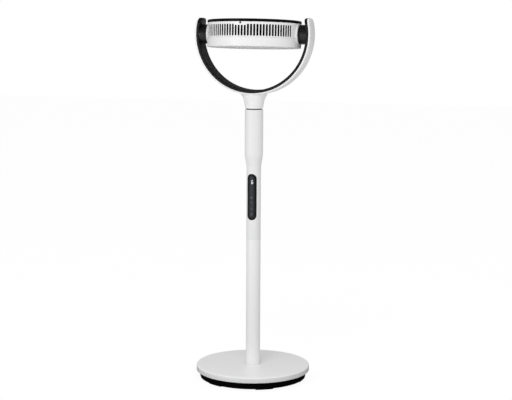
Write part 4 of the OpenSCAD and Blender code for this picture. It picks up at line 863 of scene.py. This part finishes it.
# Front grille: ring, hub, curved ribs and round bars, each with rounded edges
def makeFrontGrille():
    def finish(bm, name, look, sharp=35):
        return finishPiece(bm, name, "head", look, "front_grille", headPlace,
                           sharp)

    ring = {"inner": 113.0, "outer": 121.7, "low": 27.15, "high": 34.75,
            "rounds": [(2, 1.8), (3, 1.2), (1, 0.3)]}
    finish(turnBand(ring, 6, 240), "grille_ring", "grilleBlack")
    skirt = {"inner": 115.5, "outer": 117.9, "low": 22.55, "high": 27.2}
    gap = {"radius": 30.7, "near": 100, "far": 140, "segments": 96}  # room for a collar
    rim = finish(turnBand(skirt, steps=240), "grille_skirt", "grilleBlack")
    cutAway(rim, [looseObject(plainDrum(gap["radius"], side * gap["near"], side * gap["far"],
                                        gap["segments"]), headPlace @ alongX)
                  for side in (1, -1)])
    ribs = {"count": 36, "from": 27.0, "to": 114.0, "curve": 90.0, "width": 1.8,
            "height": 5.0, "low": 27.55, "round": 0.7, "steps": 14}
    bm = bmesh.new()
    reach, radius = (ribs["from"] + ribs["to"]) / 2, ribs["curve"]
    side = math.sqrt(radius ** 2 - reach ** 2 / 4)
    first, last = ribAngles(ribs, reach, side)
    section = barSection(bm, ribs)
    centre = Vector((reach / 2, -side, 0))
    for vert in bm.verts:
        along = radius + vert.co.x
        vert.co.x = centre.x + along * math.cos(first)
        vert.co.y = centre.y + along * math.sin(first)
    bmesh.ops.spin(bm, geom=section, cent=centre, axis=(0, 0, 1), angle=last - first,
                   steps=ribs["steps"])
    closeHoles(bm)
    repeatRound(bm, ribs["count"])
    finish(bm, "grille_ribs", "ribBlack", 50)
    bars = {"radii": [49.25, 70.5, 91.75], "width": 1.8, "height": 4.2, "low": 27.95,
            "round": 0.7}
    finish(makeBars(bars, 160), "grille_bars", "ribBlack", 50)
    hub = {"inner": 0, "outer": 28.0, "low": 27.55, "high": 32.55, "rounds": [(2, 1.0)]}
    finish(turnBand(hub, 4), "grille_hub", "ribBlack")
    cap = {"radius": 25.0, "sunk": 0.4, "rise": 2.0, "steps": 12, "fullness": 2.4}
    dome = [(0, hub["high"] - cap["sunk"]), (cap["radius"], hub["high"] - cap["sunk"])]
    for step in range(cap["steps"] + 1):
        left = 1 - step / cap["steps"]
        dome.append((cap["radius"] * left,
                     hub["high"] + cap["rise"] * (1 - left ** cap["fullness"])))
    finishPiece(turnOutline(dome, steps=128), "hub_cap", "head", "capDark",
                "grille_cap", headPlace)


# Where a rib's arc meets its two radii, found by trying
def ribAngles(ribs, reach, side, tries=4000):
    centre = Vector((reach / 2, -side))
    found = []
    for radius in (ribs["from"], ribs["to"]):
        best = min((abs((centre + ribs["curve"] * Vector((math.cos(a), math.sin(a)))).length
                        - radius), a)
                   for a in (math.pi * k / tries for k in range(tries + 1)))
        found.append(best[1])
    return found


# Upright bar section in the XZ plane with rounded corners
def barSection(bm, bar, out=0.0):
    corners = [bm.verts.new((x * bar["width"] / 2, 0, z * bar["height"] / 2))
               for x, z in ((-1, -1), (1, -1), (1, 1), (-1, 1))]
    bm.faces.new(corners)
    roundCorners(bm, corners, bar["round"], segments=3)
    bmesh.ops.delete(bm, geom=bm.faces[:], context="FACES_ONLY")
    bmesh.ops.translate(bm, vec=(out, 0, bar["low"] + bar["height"] / 2), verts=bm.verts)
    return bm.verts[:] + bm.edges[:]


def makeBars(bars, steps):
    whole = bmesh.new()
    for radius in bars["radii"]:
        bm = bmesh.new()
        section = barSection(bm, bars, radius)
        bmesh.ops.spin(bm, geom=section, cent=(0, 0, 0), axis=(0, 0, 1), angle=math.tau,
                       steps=steps, use_merge=True)
        mesh = asMesh(bm, "bar")
        whole.from_mesh(mesh)
        bpy.data.meshes.remove(mesh)
    return whole


makeFrontGrille()
print("front grille made")


# Rear grille: straight ribs, round bars, ring and hub in white
def makeRearGrille():
    def finish(bm, name, sharp=35):
        finishPiece(bm, name, "head", "drumWhite", "rear_grille", headPlace,
                    sharp)

    ring = {"inner": 99.7, "outer": 103.4, "low": -34.45, "lip": 104.7, "lipLow": -32.2,
            "lipHigh": -30.8, "rounds": [(0, 0.8), (1, 0.5)]}
    finish(turnOutline([(ring["inner"], ring["low"]), (ring["outer"], ring["low"]),
                        (ring["outer"], ring["lipLow"]), (ring["lip"], ring["lipLow"]),
                        (ring["lip"], ring["lipHigh"]), (ring["inner"], ring["lipHigh"])],
                       ring["rounds"], 4, 200), "rear_grille_ring")
    ribs = {"low": ring["low"], "height": 3.4, "width": 1.8, "round": 0.7, "count": 40,
            "from": 21.0, "to": 100.3}
    bm = bmesh.new()
    barSection(bm, ribs)
    bmesh.ops.rotate(bm, cent=(0, 0, 0), matrix=Matrix.Rotation(math.radians(90), 3, "Z"),
                     verts=bm.verts)
    bmesh.ops.translate(bm, vec=(ribs["from"], 0, 0), verts=bm.verts)
    slideNew(bm, bmesh.ops.extrude_edge_only(bm, edges=bm.edges[:]),
             (ribs["to"] - ribs["from"], 0, 0))
    closeHoles(bm)
    repeatRound(bm, ribs["count"])
    finish(bm, "rear_grille_ribs", 50)
    hub = {"inner": 0, "outer": 22.0, "low": ring["low"], "high": ring["low"] + ribs["height"],
           "rounds": [(1, 1.0)]}
    bars = {"count": 4, "width": 1.8, "height": 2.6, "low": -34.05, "round": 0.6}
    span = (ring["inner"] - hub["outer"]) / (bars["count"] + 1)
    bars["radii"] = [hub["outer"] + span * (k + 1) for k in range(bars["count"])]
    finish(makeBars(bars, 128), "rear_grille_bars", 50)
    finish(turnBand(hub, 4, 96), "rear_grille_hub")


makeRearGrille()
print("rear grille made")


# Fan: hub and swept aerofoil blades, and the duct behind it
def makeFan():
    hub = {"radius": 30.0, "low": -4.45, "high": 13.55, "round": 5.0, "rimRound": 0.4,
           "wall": 2.2, "bore": 3.0, "core": 6.0}
    radius, low, high, bore, core = (hub[key] for key in
                                     ("radius", "low", "high", "bore", "core"))
    inner, roof = radius - hub["wall"], high - hub["wall"]
    bm = turnOutline([(bore, high), (radius, high), (radius, low), (inner, low),
                      (inner, roof), (core, roof), (core, low), (bore, low)],
                     [(1, hub["round"]), (2, hub["rimRound"]), (3, hub["rimRound"])], 8, 128)
    finishPiece(bm, "fan_hub", "fan", "fanDark", "fan_wheel", headPlace)
    blade = {"count": 7, "root": 29.0, "tip": 90.0, "low": -6.45, "height": 24.0,
             "turn": 34.0, "sweep": 24.0, "rootThick": 3.432, "tipThick": 2.002, "steps": 12,
             "chord": 12}
    bm = bmesh.new()
    rows = []
    for k in range(blade["steps"] + 1):
        t = k / blade["steps"]
        radius = blade["root"] + (blade["tip"] - blade["root"]) * t
        thick = blade["rootThick"] + (blade["tipThick"] - blade["rootThick"]) * t
        row = []
        for side in (1, -1):
            for j in range(blade["chord"]):
                s = j / blade["chord"]
                s = s if side == 1 else 1 - s
                turn = math.radians(blade["sweep"] * t - blade["turn"] * s)
                bulge = side * thick / 2 * math.sqrt(max(s * (1 - s), 0))
                lean = Vector((-math.sin(turn), math.cos(turn), 0))
                row.append(Vector((radius * math.cos(turn), radius * math.sin(turn),
                                   blade["low"] + blade["height"] * s)) + lean * bulge)
        rows.append([bm.verts.new(co) for co in row])
    for first, second in zip(rows, rows[1:]):
        count = len(first)
        for j in range(count):
            bm.faces.new((first[j], first[(j + 1) % count], second[(j + 1) % count], second[j]))
    closeHoles(bm)
    repeatRound(bm, blade["count"])
    finishPiece(bm, "fan_blades", "fan", "fanDark", "fan_wheel", headPlace, 60)
    dressCopy("fan_nut", "hub_nut", "fan", "fanDark")
    dressCopy("air_duct", "duct", "head", "ductAndSlotShadeBlack")
    dressCopy("motor_case", "motor_can", "head", "plainSteel")


makeFan()
print("fan made")

# CAD nodes that stay as they are, inside the product
keptNodes = {
    "weightIron": ["ballast_weight", "motor_rotor"],
    "plainSteel": ["socket_screws", "swivel_motor", "swivel_motor_screws", "spindle_clip",
                   "spindle_screws", "boss_screws", "trunnion_screws", "trunnion_clips",
                   "tilt_motor", "tilt_motor_screws", "motor_cover", "motor_bearings",
                   "motor_shaft", "swivel_spindle", "touch_keys"],
    "dullAlloy": ["tube_socket", "tube_joiner"],
    "cableBlack": ["main_cable"],
    "panBlack": ["swivel_frame"],
    "boardGreen": ["circuit_board"],
    "displayWhite": ["digit_display"],
    "naturalNylon": ["swivel_bushes", "swivel_gear", "swivel_pinion", "left_bush",
                     "tilt_gear", "tilt_pinion"],
    "windingCopper": ["motor_coils"],
}
for look, names in keptNodes.items():
    for name in names:
        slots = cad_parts[name].data.materials
        slots.clear()
        slots.append(looks[look])
print("inner parts dressed")


# Floor, lit world and lamps. The camera sees white, and gloss mirrors a dimmer room
def makeStage():
    stage = {"size": 12.0, "near": 0.2, "far": 0.6, "dark": 0.05, "pale": 0.85, "glow": 0.9,
             "bright": 1.03, "world": 0.66, "mirrored": 0.16, "aim": (0, 0, 0.5),
             "distance": 6.0}
    bm = bmesh.new()
    bmesh.ops.create_grid(bm, x_segments=1, y_segments=1, size=stage["size"])
    mesh = asMesh(bm, "floor")
    floor = bpy.data.objects.new("floor", mesh)
    scene.collection.objects.link(floor)
    material, tree = newMaterial("paleFloor")[:2]
    tree.nodes.clear()
    reach = addNode(tree, "VectorMath", {0: objectPlace(tree)}, operation="LENGTH")
    ramp = mapRange(tree, reach.outputs["Value"], stage["near"], stage["far"], stage["dark"],
                    stage["pale"], "SMOOTHSTEP")
    seen = addNode(tree, "LightPath").outputs["Is Camera Ray"]
    shown = mixTones(tree, seen, ramp, grey(stage["pale"]))
    matt = addNode(tree, "BsdfDiffuse", {"Color": shown}).outputs[0]
    glow = addNode(tree, "Emission", {"Color": grey(1.0), "Strength": stage["bright"]})
    amount = addMath(tree, "MULTIPLY", seen, stage["glow"])
    mixed = addNode(tree, "MixShader", {0: amount, 1: matt, 2: glow.outputs[0]})
    addNode(tree, "OutputMaterial", {"Surface": mixed.outputs[0]})
    mesh.materials.append(material)

    world = bpy.data.worlds.new("studio")
    world.use_nodes = True
    scene.world = world
    tree = world.node_tree
    tree.nodes.clear()
    seen = addNode(tree, "LightPath").outputs
    soft, mirrored, white = (
        addNode(tree, "Background", {"Color": grey(1.0), "Strength": strength}).outputs[0]
        for strength in (stage["world"], stage["mirrored"], 1.0))
    dimmed = addNode(tree, "MixShader", {0: seen["Is Glossy Ray"], 1: soft, 2: mirrored})
    mixed = addNode(tree, "MixShader", {0: seen["Is Camera Ray"], 1: dimmed.outputs[0],
                                        2: white})
    addNode(tree, "OutputWorld", {"Surface": mixed.outputs[0]})

    lamps = {"leftKey": {"azimuth": -29, "rise": 6, "size": 1.2, "power": 42, "gloss": True},
             "rightKey": {"azimuth": 30, "rise": 15, "size": 2.0, "power": 54, "gloss": False},
             "upper": {"azimuth": 0, "rise": 52, "size": 2.5, "power": 92, "gloss": False}}
    for name, values in lamps.items():
        a, e = math.radians(values["azimuth"]), math.radians(values["rise"])
        back = Vector((math.sin(a) * math.cos(e), -math.cos(a) * math.cos(e), math.sin(e)))
        lamp = bpy.data.lights.new(name, "AREA")
        lamp.shape = "DISK"
        lamp.size = values["size"]
        lamp.energy = values["power"]
        light = bpy.data.objects.new(name, lamp)
        light.visible_glossy = values["gloss"]
        light.location = Vector(stage["aim"]) + back * stage["distance"]
        light.rotation_mode = "QUATERNION"
        light.rotation_quaternion = (-back).to_track_quat("-Z", "Y")
        scene.collection.objects.link(light)


def makeCamera():
    view = {"azimuth": 17.1, "pitch": 7.665, "roll": 0.285, "distance": 3.4245,
            "height": 0.9359, "right": 0.0062, "lens": 92.4, "sensor": 36.0, "nearest": 0.05,
            "farthest": 50.0}
    a, p, r = (math.radians(view[key]) for key in ("azimuth", "pitch", "roll"))
    right = Vector((math.cos(a), math.sin(a), 0))
    ahead = Vector((-math.sin(a), math.cos(a), 0))
    up = Vector((0, 0, 1))
    place = -ahead * view["distance"] + up * view["height"] + right * view["right"]
    look = ahead * math.cos(p) - up * math.sin(p)
    down = -ahead * math.sin(p) - up * math.cos(p)
    side = right * math.cos(r) - down * math.sin(r)
    down = right * math.sin(r) + down * math.cos(r)
    turn = Matrix((side, -down, -look)).transposed().to_4x4()
    lens = bpy.data.cameras.new("camera")
    lens.lens = view["lens"]
    lens.sensor_width = view["sensor"]
    lens.sensor_fit = "HORIZONTAL"
    lens.clip_start = view["nearest"]
    lens.clip_end = view["farthest"]
    camera = bpy.data.objects.new("camera", lens)
    camera.matrix_world = Matrix.Translation(place) @ turn
    scene.collection.objects.link(camera)
    scene.camera = camera


makeStage()
makeCamera()
scene.view_settings.view_transform = "Standard"
print("stage set")
